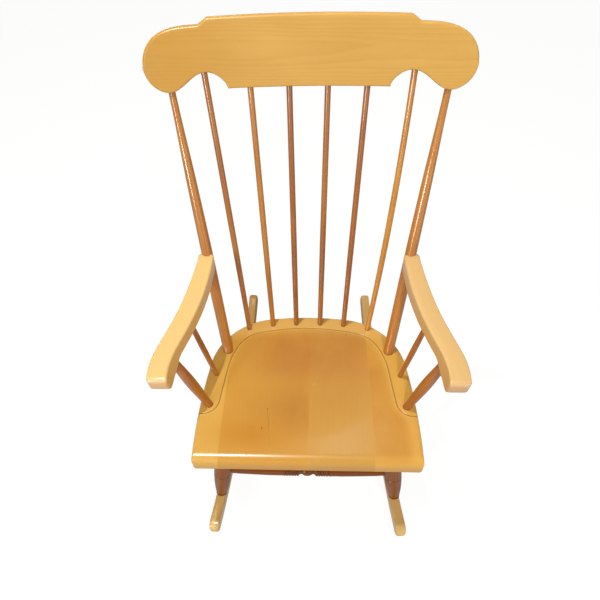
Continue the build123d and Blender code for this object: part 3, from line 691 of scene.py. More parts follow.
def at_height(leg, height):
    """Where the leg's axis is at a height above the floor."""
    foot, head = leg
    return foot + (head - foot) * ((height - foot[2]) / (head[2] - foot[2]))


def leg_radius(leg, height):
    """The leg's radius at a height above the floor, by straight lines between its stations, which leave
    out the cut of the ring."""
    foot, head = leg
    up = np.linalg.norm(at_height(leg, height) - foot)
    stations = [*LEG_SHAPE, (np.linalg.norm(head - foot), LEG_HEAD_RADIUS)]
    return float(np.interp(up, [s[0] for s in stations], [s[1] for s in stations]))


TENON = 14.0
TENON_RADIUS = 7.6
PLAIN_SWELL = 11.5
FRONT_STRETCHER_HEIGHT = 196.5
REAR_STRETCHER_HEIGHT = 203.0
SIDE_STRETCHER_HEIGHT = 172.0
BARREL_RADIUS = 14.6
RIBS = [28.4 + 6.9 * k for k in range(5)]
# distance from the middle and radius: the bead with its coves, then the long taper to the tenon
BEAD = (
    (0, 14.0), (3, 13.9), (6, 13.4), (9, 12.4), (11.5, 10.9), (13, 9.9), (16, 9.6), (19, 10.4),
    (21.5, 12.6), (23.5, 14.6),
)
TAPER = ((27, 14.7), (60, 14.5), (90, 14.0), (140, 12.6), (180, 11.2))
TAPER_END = 10.0
COVE, COVE_SHADE = 15.0, 5.0


def add_stretchers():
    """The ribbed front stretcher, and plain ones at the rear and sides that swell at their middle."""
    start, end = across_legs(FRONT_LEG, FRONT_STRETCHER_HEIGHT)
    half = np.linalg.norm(end - start) / 2
    stations = [*BEAD, *TAPER, (half - TENON, TAPER_END), (half, TAPER_END)]
    profile = ringed(stations, RIBS, BARREL_RADIUS, depth=1.8, width=3.0)
    shape = sorted([(half + d, r) for d, r in profile] + [(half - d, r) for d, r in profile if d > 0])
    # Painted shade in the rib cuts and in the coves beside the bead.
    lines = [(half + side * d, 1.4) for d in RIBS for side in (-1, 1)]
    lines += [(half + side * COVE, COVE_SHADE) for side in (-1, 1)]
    # tone=1.35 darkens the front stretcher as painted shade under the seat.
    add_turned(
        "front_stretcher", 40, start, end, shape, around=56, step=1.0, joints=(16.0, 16.0), tone=1.35,
        coat=0.5, lines=lines,
    )

    # The plain stretchers' tone=0.9 is painted shade under the seat too.
    plain = {"around": 36, "joints": (16.0, 16.0), "tone": 0.9, "coat": 0.15}
    start, end = across_legs(REAR_LEG, REAR_STRETCHER_HEIGHT)
    add_turned("rear_stretcher", 41, start, end, plain_stretcher(start, end), **plain)

    front, rear = at_height(FRONT_LEG, SIDE_STRETCHER_HEIGHT), at_height(REAR_LEG, SIDE_STRETCHER_HEIGHT)
    way = unit(rear - front)
    start = front + way * (leg_radius(FRONT_LEG, SIDE_STRETCHER_HEIGHT) - TENON)
    end = rear - way * (leg_radius(REAR_LEG, SIDE_STRETCHER_HEIGHT) - TENON)
    add_pair("side_stretcher", 43, start, end, plain_stretcher(start, end), **plain)


def across_legs(leg, height):
    """Ends of a stretcher between a pair of legs, as deep in each leg as its tenon."""
    right = at_height(leg, height)
    inset = np.array([leg_radius(leg, height) - TENON, 0, 0])
    return right * (-1, 1, 1) + inset, right - inset


def plain_stretcher(start, end):
    length = np.linalg.norm(end - start)
    return (
        (0, TENON_RADIUS), (TENON, TENON_RADIUS), (length / 2, PLAIN_SWELL),
        (length - TENON, TENON_RADIUS), (length, TENON_RADIUS),
    )


# ---------------------------------------------------------------- crest rail

CREST_TOP_END = (192.5, 119.0)
CREST_CROWN = 123.0
CREST_FOOT_END = (162.0, -5.0)
CREST_FOOT = -3.2
CREST_LOBE = (
    (210.5, 107.1), (246.0, 105.0), (303.0, 83.0), (323.2, 42.0), (311.0, 5.5), (275.0, -10.6),
    (241.0, 7.6), (204.0, 25.0), (169.0, 9.0), CREST_FOOT_END,
)
CREST_FRONT_ROUND = 6.5
CREST_FOOT_ROUND = 2.0
CREST_BACK_ROUND = 4.0


def crest_edges(x):
    """Upper and lower edge of the board at sideways places: a slight crown, a step and a round lobe above,
    a level edge, a notch and the same lobe below."""
    lobe = clamped_spline(CREST_LOBE, (35.5, -2.1), (0, -1), 60)
    turn = int(np.argmax(lobe[:, 0]))
    tip = lobe[turn, 0]
    upper, lower = lobe[:turn + 1], lobe[turn:][::-1]
    a = np.minimum(np.abs(x), tip)
    crown = CREST_CROWN + (CREST_TOP_END[1] - CREST_CROWN) * (a / CREST_TOP_END[0]) ** 2
    step = np.interp(a, [CREST_TOP_END[0], upper[0, 0]], [CREST_TOP_END[1], upper[0, 1]])
    beyond = np.where(a <= upper[0, 0], step, np.interp(a, upper[:, 0], upper[:, 1]))
    top = np.where(a <= CREST_TOP_END[0], crown, beyond)
    level = CREST_FOOT + (CREST_FOOT_END[1] - CREST_FOOT) * (a / CREST_FOOT_END[0]) ** 2
    low = np.where(a <= CREST_FOOT_END[0], level, np.interp(a, lower[:, 0], lower[:, 1]))
    return top, low, tip


def beside(points, line, closed=False):
    """Distance of each point from a line in plan, by projecting on each of its segments and keeping the
    nearest. It is positive to the left of the line's way."""
    if closed:
        line = np.vstack([line, line[:1]])
    start, way = line[:-1], np.diff(line, axis=0)
    size = np.maximum((way * way).sum(1), 1e-9)
    result = np.empty(len(points))
    for first in range(0, len(points), 4000):
        off = points[first:first + 4000, None, :] - start
        share = np.clip((off * way).sum(-1) / size, 0, 1)
        gap = off - share[..., None] * way
        square = (gap * gap).sum(-1)
        near = square.argmin(1)
        pick = np.arange(len(near))
        turn = way[near, 0] * off[pick, near, 1] - way[near, 1] * off[pick, near, 0]
        result[first:first + 4000] = np.copysign(np.sqrt(square[pick, near]), turn)
    return result


def add_crest():
    """The board in columns from its lower to its upper edge, bent to a wide arc. Each face falls off by a
    quarter circle near the outline, whose radius on the front grows from the lower to the upper edge."""
    tip = crest_edges(np.zeros(1))[2] - 0.02
    dense_from = 296
    inner = np.arange(0, dense_from, 2.5)
    outer = dense_from + (tip - dense_from) * np.sin(np.linspace(0, math.pi / 2, 40))
    notch = CREST_FOOT_END[0] + np.array([0, 1, 3, 5, 7])
    corners = [*notch, CREST_TOP_END[0], CREST_LOBE[0][0]]
    half = np.unique(np.round(np.concatenate([inner, outer, corners]), 3))
    xs = np.concatenate([-half[:0:-1], half])
    top, low, _ = crest_edges(xs)
    rim = CREST_FRONT_ROUND * (1 - np.cos(np.linspace(0, math.pi / 2, 10)))
    height = top - low
    fit = np.minimum(1, height / 2 / (1.1 * CREST_FRONT_ROUND))[None]
    lower_rows = low[None] + rim[:, None] * fit
    upper_rows = (top[None] - rim[:, None] * fit)[::-1]
    share = np.linspace(0, 1, 26)[1:-1, None]
    middle = lower_rows[-1:] * (1 - share) + upper_rows[:1] * share
    rise = np.vstack([lower_rows, middle, upper_rows])
    plan = np.stack([np.broadcast_to(xs, rise.shape), rise], -1)
    outline = np.vstack([np.stack([xs, low], 1), np.stack([xs, top], 1)[::-1]])
    distance = np.abs(beside(plan.reshape(-1, 2), outline, closed=True)).reshape(rise.shape)
    upward = smoothstep(2.2 * (rise - low) / height - 0.6)
    softness = CREST_FOOT_ROUND + (CREST_FRONT_ROUND - CREST_FOOT_ROUND) * upward
    front = CREST_THICKNESS / 2 - quarter_drop(distance, softness)
    back = -CREST_THICKNESS / 2 + quarter_drop(distance, CREST_BACK_ROUND)

    def bend(local):
        """Each point keeps its sideways place and moves forward onto an arc about an axis in front."""
        forward = CREST_BOW - np.sqrt(CREST_BOW**2 - local[:, 0] ** 2)
        return local + np.stack([0 * forward, 0 * forward, forward], 1)

    points, faces, local = slab(plan, front, back, CREST, bend)
    wood = local[:, [2, 1, 0]]

    def finish(n, colour):
        """The left end took more stain."""
        along = n.feed(n.add("SeparateXYZ"), Vector=n.wood()).outputs["Z"]
        return n.mix(n.band(along, -0.05, -0.27, 0.0, 0.6), colour, rgb(206, 150, 52))

    material = lacquered_maple(
        "crest_finish", rgb(230, 183, 96), rgb(205, 151, 64), ring_width=0.0048, waver=0.022,
        pith=(-0.03, 0.062, 0.02), rings=0.19, fibre=0.5, clouds=0.35, flecks=0.15, coat_roughness=0.3,
        finish=finish,
    )
    make_piece(
        "crest_rail", points, faces, wood, material, ["crest_rail"],
        {"joint": np.zeros(len(points))}, sharp=50,
    )


# ---------------------------------------------------------------- arms

ARM_START = 7.2
ARM_START_ROUND = 4.0
ARM_NOSE_ROUND = 11.0
ARM_CHIN_ROUND = 32.0
ARM_NOSE_SIDE_ROUND = 8.0
ARM_CORNER = 5.0
ARM_HALF_WIDTH = 18.3
ARM_WIDENING = 2.2
ARM_END_LEAN = 0.378
LEAN_RUN = 90.0
# distances from the nose where the hand hold starts and turns square, and the runs that this takes
ROLL_FROM, ROLL_RUN = 95.0, 45.0
ROLL_DEPTH = 17.0
ROLL_WIDENING = 0.8
SQUARE_FROM, SQUARE_RUN = 80.0, 65.0


def add_arms():
    """Sawn arms: a rounded square section carried along an S curve. In front of its post the arm deepens
    to a rolled hand hold, whose end is square to the chair. The rear end leans as its post does."""
    line = arm_line(150)
    run = lengths(line)
    total = run[-1]
    ease = 1 - np.cos(np.linspace(0, math.pi / 2, 18))
    at = np.unique(np.concatenate([
        ARM_START + ARM_START_ROUND * ease, np.linspace(12, total - ARM_CHIN_ROUND - 1, 110),
        total - ARM_CHIN_ROUND * ease,
    ]))
    ahead = total - at
    x, y = (np.interp(at, run, line[:, k]) for k in range(2))
    tangent = unit(np.stack([np.gradient(x, at), np.gradient(y, at)], 1))
    square = smoothstep((SQUARE_FROM - ahead) / SQUARE_RUN)[:, None]
    across = unit((1 - square) * np.stack([-tangent[:, 1], tangent[:, 0]], 1) + square * (1.0, 0.0))
    roll = smoothstep((ROLL_FROM - ahead) / ROLL_RUN)
    width = ARM_HALF_WIDTH + ARM_WIDENING * smoothstep(at / (total / 3)) + ROLL_WIDENING * roll
    width = width - 0.8 * quarter_drop(ahead, ARM_NOSE_SIDE_ROUND)
    width = width - 0.6 * quarter_drop(at - ARM_START, ARM_START_ROUND)
    top = -quarter_drop(ahead, ARM_NOSE_ROUND)
    low = -ARM_THICKNESS - ROLL_DEPTH * roll + quarter_drop(ahead, ARM_CHIN_ROUND)
    corner = np.minimum(ARM_CORNER, 0.45 * (top - low))
    turn = np.linspace(0, math.pi / 2, 8)
    loop = []
    for quadrant in range(4):
        angle = turn + quadrant * math.pi / 2
        side = 1 if quadrant in (0, 3) else -1
        upper = quadrant in (0, 1)
        centre_w = side * (width - corner)
        centre_z = (top - corner) if upper else (low + corner)
        w = centre_w[:, None] + corner[:, None] * np.cos(angle)
        z = centre_z[:, None] + corner[:, None] * np.sin(angle)
        loop.append(np.stack([w, z], -1))
    section = np.concatenate(loop, axis=1)
    lean = ARM_END_LEAN * (1 - smoothstep((at - ARM_START) / LEAN_RUN))
    shift = -section[..., 1] * lean[:, None]
    middle = np.stack([x, y], 1)[:, None]
    plan = middle + across[:, None] * section[..., :1] + tangent[:, None] * shift[..., None]
    points = ARM.out(np.concatenate([plan, section[..., 1:]], -1))
    rows, columns = section.shape[:2]
    faces = capped_tube(rows, columns)
    along = np.broadcast_to(at[:, None], section.shape[:2])
    wood = np.stack([section[..., 0], section[..., 1], along], -1).reshape(-1, 3)
    points = points.reshape(-1, 3)
    masks = {
        "joint": 0.5 * np.exp(-(along - ARM_START) / 5.0),
        # Paler towards the nose's end.
        "paler_nose": smoothstep(1 - (total - along) / 9.0),
        "gloss": 0.25 + 0.75 * smoothstep((section[..., 1] + 16) / 10),
    }

    def finish(n, colour):
        """The nose is paler towards its end."""
        return n.mix(n.times(n.mask("paler_nose"), 0.7), colour, rgb(240, 196, 150))

    tones = (-1, rgb(255, 212, 138), rgb(250, 204, 129)), (1, rgb(238, 198, 133), rgb(230, 186, 119))
    for side, pale, deep in tones:
        body, skin = (points, faces) if side > 0 else mirrored(points, faces)
        name = f"arm_{side_name(side)}"
        material = lacquered_maple(
            f"{name}_finish", pale, deep, ring_width=0.007, waver=0.014,
            pith=(0.02 * side, -0.05, 0.1), rings=0.2, fibre=0.25, clouds=0.15, flecks=0.12,
            coat="gloss", coat_roughness=0.24, coat_bend=1.6, shift=(0.013 * side, 0.007, 0.3 * side),
            finish=finish,
        )
        make_piece(name, body, skin, wood, material, [name], masks, sharp=50)


# ---------------------------------------------------------------- runners

TIP_RUN = 45.0
REAR_TIP_ROUNDS = (12.0, 15.0)
FRONT_TIP_ROUNDS = (11.0, 20.0)
FLOOR_GAP = 0.02


def runner_outline():
    """The right runner from its side, from the rear end on: forward along the lower arc, round the front
    tip, back along the upper arc and round the rear tip. Both arcs have one centre, and near the tips
    they run straight to a corner that is rounded."""
    arcs = []
    for radius, runs in (
        (RUNNER_RADIUS - FLOOR_GAP, (RUNNER_REAR, RUNNER_FRONT)),
        (RUNNER_RADIUS - RUNNER_HEIGHT, (RUNNER_FRONT, RUNNER_REAR)),
    ):
        x = np.linspace(*runs, 160)
        arcs.append(np.stack([x, RUNNER_RADIUS - np.sqrt(radius**2 - x**2)], 1))
    under, over = arcs
    tips = []
    for low, high, rounds in ((under, over[::-1], REAR_TIP_ROUNDS), (under[::-1], over, FRONT_TIP_ROUNDS)):
        low_way, high_way = unit(low[8] - low[0]), unit(high[8] - high[0])
        path = [low[0] + TIP_RUN * low_way, low[0], high[0], high[0] + TIP_RUN * high_way]
        tips.append(rounded_path(path, rounds, 0.8))
    rear_tip, front_tip = tips
    between = (RUNNER_FRONT + TIP_RUN + 1, RUNNER_REAR - TIP_RUN - 1)
    under, over = (arc[(arc[:, 0] > between[0]) & (arc[:, 0] < between[1])] for arc in arcs)
    return np.vstack([under, front_tip, over, rear_tip[::-1]])


def add_rockers():
    """Runners: the side outline drawn in along its own normals by a quarter circle at each face, so that
    the long edges are softened, and more so at the tips."""
    outline = runner_outline()
    before, after = outline - np.roll(outline, 1, axis=0), np.roll(outline, -1, axis=0) - outline
    way = unit(unit(before) + unit(after))
    inward = np.stack([way[:, 1], -way[:, 0]], 1)
    turn = np.linspace(0, math.pi / 2, 7)
    from_end = np.minimum(outline[:, 0] - RUNNER_FRONT, RUNNER_REAR - outline[:, 0])
    edge = 3.5 + 4.0 * smoothstep(1 - from_end / 16.0)
    half = RUNNER_WIDTH / 2
    profile = [(edge * (1 - math.cos(a)), half - edge * (1 - math.sin(a))) for a in turn[::-1]]
    profile += [(depth, -side) for depth, side in profile[::-1]]
    local = np.stack([
        np.column_stack([outline + depth[:, None] * inward, side]) for depth, side in profile
    ])
    rows, columns = local.shape[:2]
    faces = capped_tube(rows, columns)
    local = local.reshape(-1, 3)
    points = RUNNER.out(local)
    sag = RUNNER_RADIUS - np.sqrt(RUNNER_RADIUS**2 - local[:, 0] ** 2)
    wood = np.stack([local[:, 2], local[:, 1] - sag, local[:, 0]], 1)
    masks = {
        "joint": np.zeros(len(points)),
        "polish": 0.1 + 0.9 * smoothstep((-290 - local[:, 0]) / 30),
        # Painted shade towards the rear ends, used on the left runner.
        "rear_shade": smoothstep((local[:, 0] - 200) / 150),
    }

    for side, amount in ((-1, 1.0), (1, 0.0)):

        def finish(n, colour, amount=amount):
            """Painted shade: the rear end of the left runner is darkened towards brown."""
            return n.mix(n.times(n.mask("rear_shade"), amount), colour, rgb(194, 144, 72))

        body, skin = (points, faces) if side > 0 else mirrored(points, faces)
        name = f"rocker_{side_name(side)}"
        material = lacquered_maple(
            f"{name}_finish", rgb(255, 214, 140), rgb(240, 188, 108), ring_width=0.006,
            waver=0.012, pith=(0.03, -0.06, 0.0), rings=0.2, fibre=0.3, clouds=0.3, flecks=0.15,
            roughness=0.5, coat="polish", coat_roughness=0.2, shift=(0.02 * side, 0.0, 0.4 * side),
            finish=finish,
        )
        make_piece(name, body, skin, wood, material, [name], masks, sharp=50)


# ---------------------------------------------------------------- seat

SEAT_WIDTH = 521.0
SEAT_WIDEST = -247.0
REAR_RADIUS = 733.0
SIDE_RADIUS = 1477.0
CORNER = 170.0
FRONT_CORNER = 7.0
FRONT_ROLL = 24.0
EDGE_ROUND = 7.0
REAR_DISC = (np.array([0.0, SEAT_REAR - REAR_RADIUS]), REAR_RADIUS)
SIDE_DISC = (np.array([SEAT_WIDTH / 2 - SIDE_RADIUS, SEAT_WIDEST]), SIDE_RADIUS)
HOLLOW_MIDDLE = -104.0
HOLLOW_REACH = (195.0, 160.0)
HOLLOW_DEPTH = 7.0


def circle_meeting(first, second, radius):
    """Centre, on the right, of a circle tangent inside two larger ones: both centres are as far off as the
    difference of the radii."""
    (a, ra), (b, rb) = first, second
    ra, rb = ra - radius, rb - radius
    d = np.linalg.norm(b - a)
    along = (d * d + ra * ra - rb * rb) / (2 * d)
    off = math.sqrt(ra * ra - along * along)
    way = (b - a) / d
    normal = np.array([-way[1], way[0]])
    options = [a + way * along + side * off * normal for side in (1, -1)]
    return max(options, key=lambda c: c[0])


REAR_CORNER_CENTRE = circle_meeting(REAR_DISC, SIDE_DISC, CORNER)
FRONT_CORNER_Y = SEAT_FRONT + FRONT_CORNER
FRONT_CORNER_CENTRE = np.array([
    SIDE_DISC[0][0] + math.sqrt((SIDE_RADIUS - FRONT_CORNER) ** 2 - (FRONT_CORNER_Y - SEAT_WIDEST) ** 2),
    FRONT_CORNER_Y,
])


def arc_between(centre, radius, start, end, step=3.0):
    """Arc from one point to another about a centre, the short way round."""
    a, b = (math.atan2(*(q - centre)[::-1]) for q in (start, end))
    turn = (b - a + math.pi) % (2 * math.pi) - math.pi
    angle = a + np.linspace(0, turn, max(3, int(abs(turn) * radius / step)))
    return centre + radius * np.stack([np.cos(angle), np.sin(angle)], 1)


def seat_edges():
    """Right half of the seat's outline in three runs: the rear one as far as halfway round its corner, the
    side one as far as halfway round the front corner, and the front one to the middle."""
    rear, rear_r = REAR_DISC
    side, side_r = SIDE_DISC
    rear_touch = rear + unit(REAR_CORNER_CENTRE - rear) * rear_r
    side_touch = side + unit(REAR_CORNER_CENTRE - side) * side_r
    front_touch = side + unit(FRONT_CORNER_CENTRE - side) * side_r
    rear_half = REAR_CORNER_CENTRE + CORNER * unit((0.75, 0.66))
    front_half = FRONT_CORNER_CENTRE + FRONT_CORNER * unit((1.0, -1.0))
    front_end = FRONT_CORNER_CENTRE - (0, FRONT_CORNER)
    return (
        np.vstack([
            arc_between(rear, rear_r, np.array([0.0, SEAT_REAR]), rear_touch),
            arc_between(REAR_CORNER_CENTRE, CORNER, rear_touch, rear_half)[1:],
        ]),
        np.vstack([
            arc_between(REAR_CORNER_CENTRE, CORNER, rear_half, side_touch),
            arc_between(side, side_r, side_touch, front_touch)[1:],
            arc_between(FRONT_CORNER_CENTRE, FRONT_CORNER, front_touch, front_half, 0.7)[1:],
        ]),
        np.vstack([
            arc_between(FRONT_CORNER_CENTRE, FRONT_CORNER, front_half, front_end, 0.7),
            np.array([[0.0, SEAT_FRONT]]),
        ]),
    )


REAR_EDGE, SIDE_EDGE, FRONT_EDGE = seat_edges()
HALF_EDGE = np.vstack([REAR_EDGE, SIDE_EDGE[1:], FRONT_EDGE[1:]])
SEAT_LOOP = np.vstack([HALF_EDGE, (HALF_EDGE * (-1, 1))[::-1][1:-1]])
GROOVE_WIDTH, GROOVE_DEPTH = 1.15, 1.2
GROOVE_HALF = [(166.6, 33.2), (199.4, -41), (216, -201.7), (276, -201.7)]
GROOVE = rounded_path(
    [*[(-x, y) for x, y in GROOVE_HALF[::-1]], (0, 75.5), *GROOVE_HALF],
    [38, 200, 80, 510, 80, 200, 38], 1.5,
)


def seat_heights(plan):
    """Top and underside of the seat over a grid of places, and how far each place lies inside the scribed
    line. The top is level less a power of an elliptical bowl, a quarter circle at each edge and a bell
    curve across the line; the underside is level with rounded edges."""
    flat = plan.reshape(-1, 2)
    distance = np.abs(beside(flat, SEAT_LOOP, closed=True))
    outward = beside(flat, GROOVE)
    x, y = flat[:, 0], flat[:, 1]
    away = (x / HOLLOW_REACH[0]) ** 2 + ((y - HOLLOW_MIDDLE) / HOLLOW_REACH[1]) ** 2
    hollow = HOLLOW_DEPTH * np.clip(1 - away, 0, 1) ** 1.6
    drop = np.maximum(quarter_drop(distance, EDGE_ROUND), quarter_drop(y - SEAT_FRONT, FRONT_ROLL))
    top = -hollow - drop - GROOVE_DEPTH * np.exp(-((outward / GROOVE_WIDTH) ** 2))
    low = -SEAT_THICKNESS + quarter_drop(distance, 4.0 + 6.0 * smoothstep((y - SEAT_FRONT) / 60.0))
    return top.reshape(plan.shape[:2]), low.reshape(plan.shape[:2]), -outward


def spread(*spans):
    """Places along a line: each span gives its end and its spacing, from the end of the one before."""
    places = [spans[0][0]]
    for end, step in spans[1:]:
        count = max(1, round(abs(end - places[-1]) / step))
        places += list(np.linspace(places[-1], end, count + 1)[1:])
    return np.array(places)


def seat_rows():
    """Places from the front edge to the rear, close together at the front roll, the turn of the scribed
    line and the rear edge."""
    roll = SEAT_FRONT + FRONT_ROLL * (1 - np.cos(np.linspace(0, math.pi / 2, 22)))
    middle = spread(
        (SEAT_FRONT + FRONT_ROLL, 0), (-214, 4.0), (-150, 0.9), (0, 4.0), (SEAT_REAR - EDGE_ROUND, 0.85),
    )
    rear = SEAT_REAR - EDGE_ROUND * (1 - np.sin(np.linspace(0, math.pi / 2, 9)))
    return np.concatenate([roll[:-1], middle[:-1], rear])


def middle_board_plan(*columns):
    """Columns across the board, each from the front edge to the curved rear edge."""
    xs = spread(*columns)
    rows = seat_rows()[:, None]
    rear = np.interp(np.abs(xs), REAR_EDGE[:, 0], REAR_EDGE[:, 1])[None]
    y = np.where(rows > 0, rows * rear / SEAT_REAR, rows)
    return np.stack([np.broadcast_to(xs, y.shape), y], -1)


def side_board_plan(seam):
    """A patch between four edges: the seam, the front, the side and the rear. Each point is the sum of
    the two straight blends between opposite edges, less the blend of the four corners."""
    rear_end = (seam, np.interp(seam, REAR_EDGE[:, 0], REAR_EDGE[:, 1]))
    rear = np.vstack([rear_end, REAR_EDGE[REAR_EDGE[:, 0] > seam + 0.5]])
    front = np.vstack([[(seam, SEAT_FRONT)], FRONT_EDGE[-2::-1]])
    seam_line = np.array([front[0], rear_end])
    rows = (seat_rows() - SEAT_FRONT) / (SEAT_REAR - SEAT_FRONT)
    reach, rim = 105.0, 8.0
    columns = np.concatenate([
        np.linspace(0, 1 - rim / reach, 96)[:-1],
        1 - rim / reach * (1 - np.sin(np.linspace(0, math.pi / 2, 12))),
    ])
    v, w = rows[:, None, None], columns[None, :, None]
    corners = (1 - v) * ((1 - w) * front[0] + w * front[-1]) + v * ((1 - w) * rear[0] + w * rear[-1])
    lengthways = (1 - v) * along_line(front, columns)[None] + v * along_line(rear, columns)[None]
    sideways = (1 - w) * along_line(seam_line, rows)[:, None] + w * along_line(SIDE_EDGE[::-1], rows)[:, None]
    return lengthways + sideways - corners


def mound(x, y, centre, reach, power=2.0):
    """A soft patch: 1 at its centre, falling off over its reach along each axis."""
    return np.exp(-np.abs((x - centre[0]) / reach[0]) ** power - np.abs((y - centre[1]) / reach[1]) ** power)


def seat_patches(x, y, inward):
    """Masks for the finish: browner in soft patches, most of all at the rear and left of the middle, and more
    so inside the scribed line, where the brown is partly wear and partly painted shade of the hollow; deeper
    orange stain at the front left; a paler rim behind the scribed line; a painted highlight beside the line,
    and painted shade in it."""
    seam = SEAT_SEAMS[1]
    rear = mound(x, y, (15, -22), (160, 78), 4.0)
    left = 0.8 * mound(x, y, (-38, -185), (85, 85)) * (x < seam)
    right = 0.4 * mound(x, y, (75, -130), (90, 75)) * (x >= seam)
    board = 0.75 * (x > SEAT_SEAMS[2]) * smoothstep((20 - y) / 120)
    board = board * smoothstep((y + 330) / 40) * smoothstep((246 - x) / 30)
    wear_and_shade = 1 - (1 - rear) * (1 - left) * (1 - right) * (1 - board)
    # Inside the scribed line the brown patches deepen: partly wear, partly painted shade of the hollow.
    inside = smoothstep(inward / 22)
    return {
        "wear_and_shade": np.where(inward > 0, wear_and_shade * (0.25 + 0.75 * inside), 0.0),
        "stain": np.where(inward > 0, mound(x, y, (-130, -252), (75, 34)), 0.0),
        "rim": np.where(inward < 0, smoothstep((y - 5) / 45), 0.25 * smoothstep((y - 20) / 45)),
        # Painted highlight: a light line just inside the scribed groove.
        "painted_glint": np.exp(-(((inward - 3.6) / 1.5) ** 2)),
        # Painted shade in the scribed groove.
        "joint": 0.75 * np.exp(-((inward / 1.4) ** 2)),
        "gloss": 1 - 0.95 * np.exp(-((inward / 2.2) ** 2)),
    }


def seat_marks(n, place, colour):
    """Small marks on the plank: a long dark scratch, two pinheads beside it, a light chip in the middle
    and a nick at the scribed line."""
    dark = (0.16, 0.075, 0.02, 1.0)
    for start, end, width, strength, tone in (
        ((-94.8, -185.0), (-94.3, -188.0), 1.6, 0.7, dark),
        ((-94.8, -185.0), (-88.0, -243.0), 0.8, 0.6, dark),
        ((-88.0, -243.0), (-83.5, -276.8), 0.5, 0.35, dark),
        ((-105.1, -235.5), (-105.1, -240.0), 2.1, 0.85, dark),
        ((-149.2, -226.0), (-149.2, -236.0), 0.8, 0.3, dark),
        ((-137.0, -236.0), (-120.0, -237.0), 0.5, 0.3, dark),
        ((15.5, -112.4), (16.0, -112.4), 1.6, 0.8, (0.9, 0.72, 0.45, 1.0)),
        ((100.3, 36.6), (101.0, 33.0), 1.2, 0.6, dark),
    ):
        places = [(x * MM, 0.0, y * MM) for x, y in (start, end)]
        mark = n.use(FINE_MARK, Place=place, Width=width * MM, Start=places[0], End=places[1])
        colour = n.mix(n.times(mark.outputs["Mark"], strength), colour, tone)
    return colour


def add_seat():
    """The plank as four glued boards, each with its own tone."""
    plans = (
        (side_board_plan(-SEAT_SEAMS[0]) * (-1, 1))[:, ::-1],
        middle_board_plan((SEAT_SEAMS[0], 0), (-150, 0.9), (SEAT_SEAMS[1], 5.0)),
        middle_board_plan((SEAT_SEAMS[1], 0), (140, 5.0), (SEAT_SEAMS[2], 0.9)),
        side_board_plan(SEAT_SEAMS[2]),
    )
    # Pale, deep and the brown of the patches of wear and painted shade, for each board.
    tones = (
        (rgb(233, 183, 86), rgb(224, 168, 70), rgb(207, 144, 58)),
        (rgb(223, 165, 66), rgb(214, 152, 54), rgb(197, 131, 51)),
        (rgb(218, 164, 74), rgb(209, 153, 64), rgb(200, 135, 54)),
        (rgb(234, 180, 82), rgb(226, 167, 70), rgb(204, 137, 42)),
    )
    for number, (plan, (pale, deep, worn)) in enumerate(zip(plans, tones), start=1):
        top, low, inward = seat_heights(plan)
        points, faces, local = slab(plan, top, low, SEAT)
        wood = np.stack([local[:, 0], local[:, 2], local[:, 1]], 1)
        patches = seat_patches(plan[..., 0].ravel(), plan[..., 1].ravel(), inward)

        def finish(n, colour, worn=worn):
            """Browner in the patches of wear and painted shade, stained, paler behind the line, with a
            painted highlight beside it and the small marks.
            """
            place = n.wood()
            mask = {key: n.mask(key) for key in patches}
            blotch = n.band(n.noise(n.stretch(place, (1, 1, 0.7)), 13.0, 3.0, 0.55, 0.6), 0.3, 0.7, 0.7, 1.0)
            # Brown patches, partly wear and partly painted shade.
            colour = n.mix(n.times(mask["wear_and_shade"], blotch), colour, worn)
            colour = n.mix(n.times(mask["stain"], 0.8), colour, rgb(212, 142, 36))
            colour = n.mix(n.times(mask["rim"], 0.7), colour, rgb(240, 190, 104))
            # Painted highlight just inside the scribed line.
            colour = n.mix(n.times(mask["painted_glint"], 0.35), colour, rgb(246, 200, 116))
            return seat_marks(n, place, colour)

        name = f"seat_board_{number}"
        material = lacquered_maple(
            f"{name}_finish", pale, deep, ring_width=0.009, waver=0.02,
            pith=(0.03 * number - 0.1, -0.08 - 0.01 * number, 0.0), rings=0.1, fibre=0.2, clouds=0.3,
            flecks=0.12, coat="gloss", coat_roughness=0.26, coat_bend=1.7, finish=finish,
        )
        masks = {key: np.concatenate([value, 0 * value]) for key, value in patches.items()}
        make_piece(name, points, faces, wood, material, [name], masks, sharp=50)


# ---------------------------------------------------------------- hidden hardware

def finish_hardware():
    """The screws and their plugs keep their solids and get their own finishes."""
    plugs = lacquered_maple(
        "plug_finish", rgb(214, 140, 70), rgb(150, 80, 34), ring_width=0.002, waver=0.001,
        pith=ORIGIN, rings=0.4, blank=False,
    )
    steel = bpy.data.materials.new("screw_finish")
    steel.use_nodes = True
    n = Nodes(steel.node_tree)
    shader = steel.node_tree.nodes["Principled BSDF"]
    place = n.add("TexCoord").outputs["Object"]
    grain = n.noise(n.stretch(place, (1, 0.1, 1)), 3000.0, 2.0)
    zinc = n.mix(grain, (0.45, 0.45, 0.47, 1), (0.62, 0.62, 0.64, 1))
    n.feed(shader, Base_Color=zinc, Roughness=n.band(grain, 0.3, 0.7, 0.25, 0.45), Metallic=1.0)
    for node, material in (("arm_screw_plugs", plugs), ("arm_screws", steel)):
        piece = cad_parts[node]
        piece.data.materials.clear()
        piece.data.materials.append(material)


# ---------------------------------------------------------------- studio

def is_seen(n, in_gloss=1.0):
    """1 for the camera, a given share for what gloss and glass mirror, and 0 for light on the chair."""
    path = n.add("LightPath")
    in_mirror = n.maths("MAXIMUM", path.outputs["Is Glossy Ray"], path.outputs["Is Transmission Ray"])
    return n.maths("MAXIMUM", path.outputs["Is Camera Ray"], n.times(in_mirror, in_gloss))


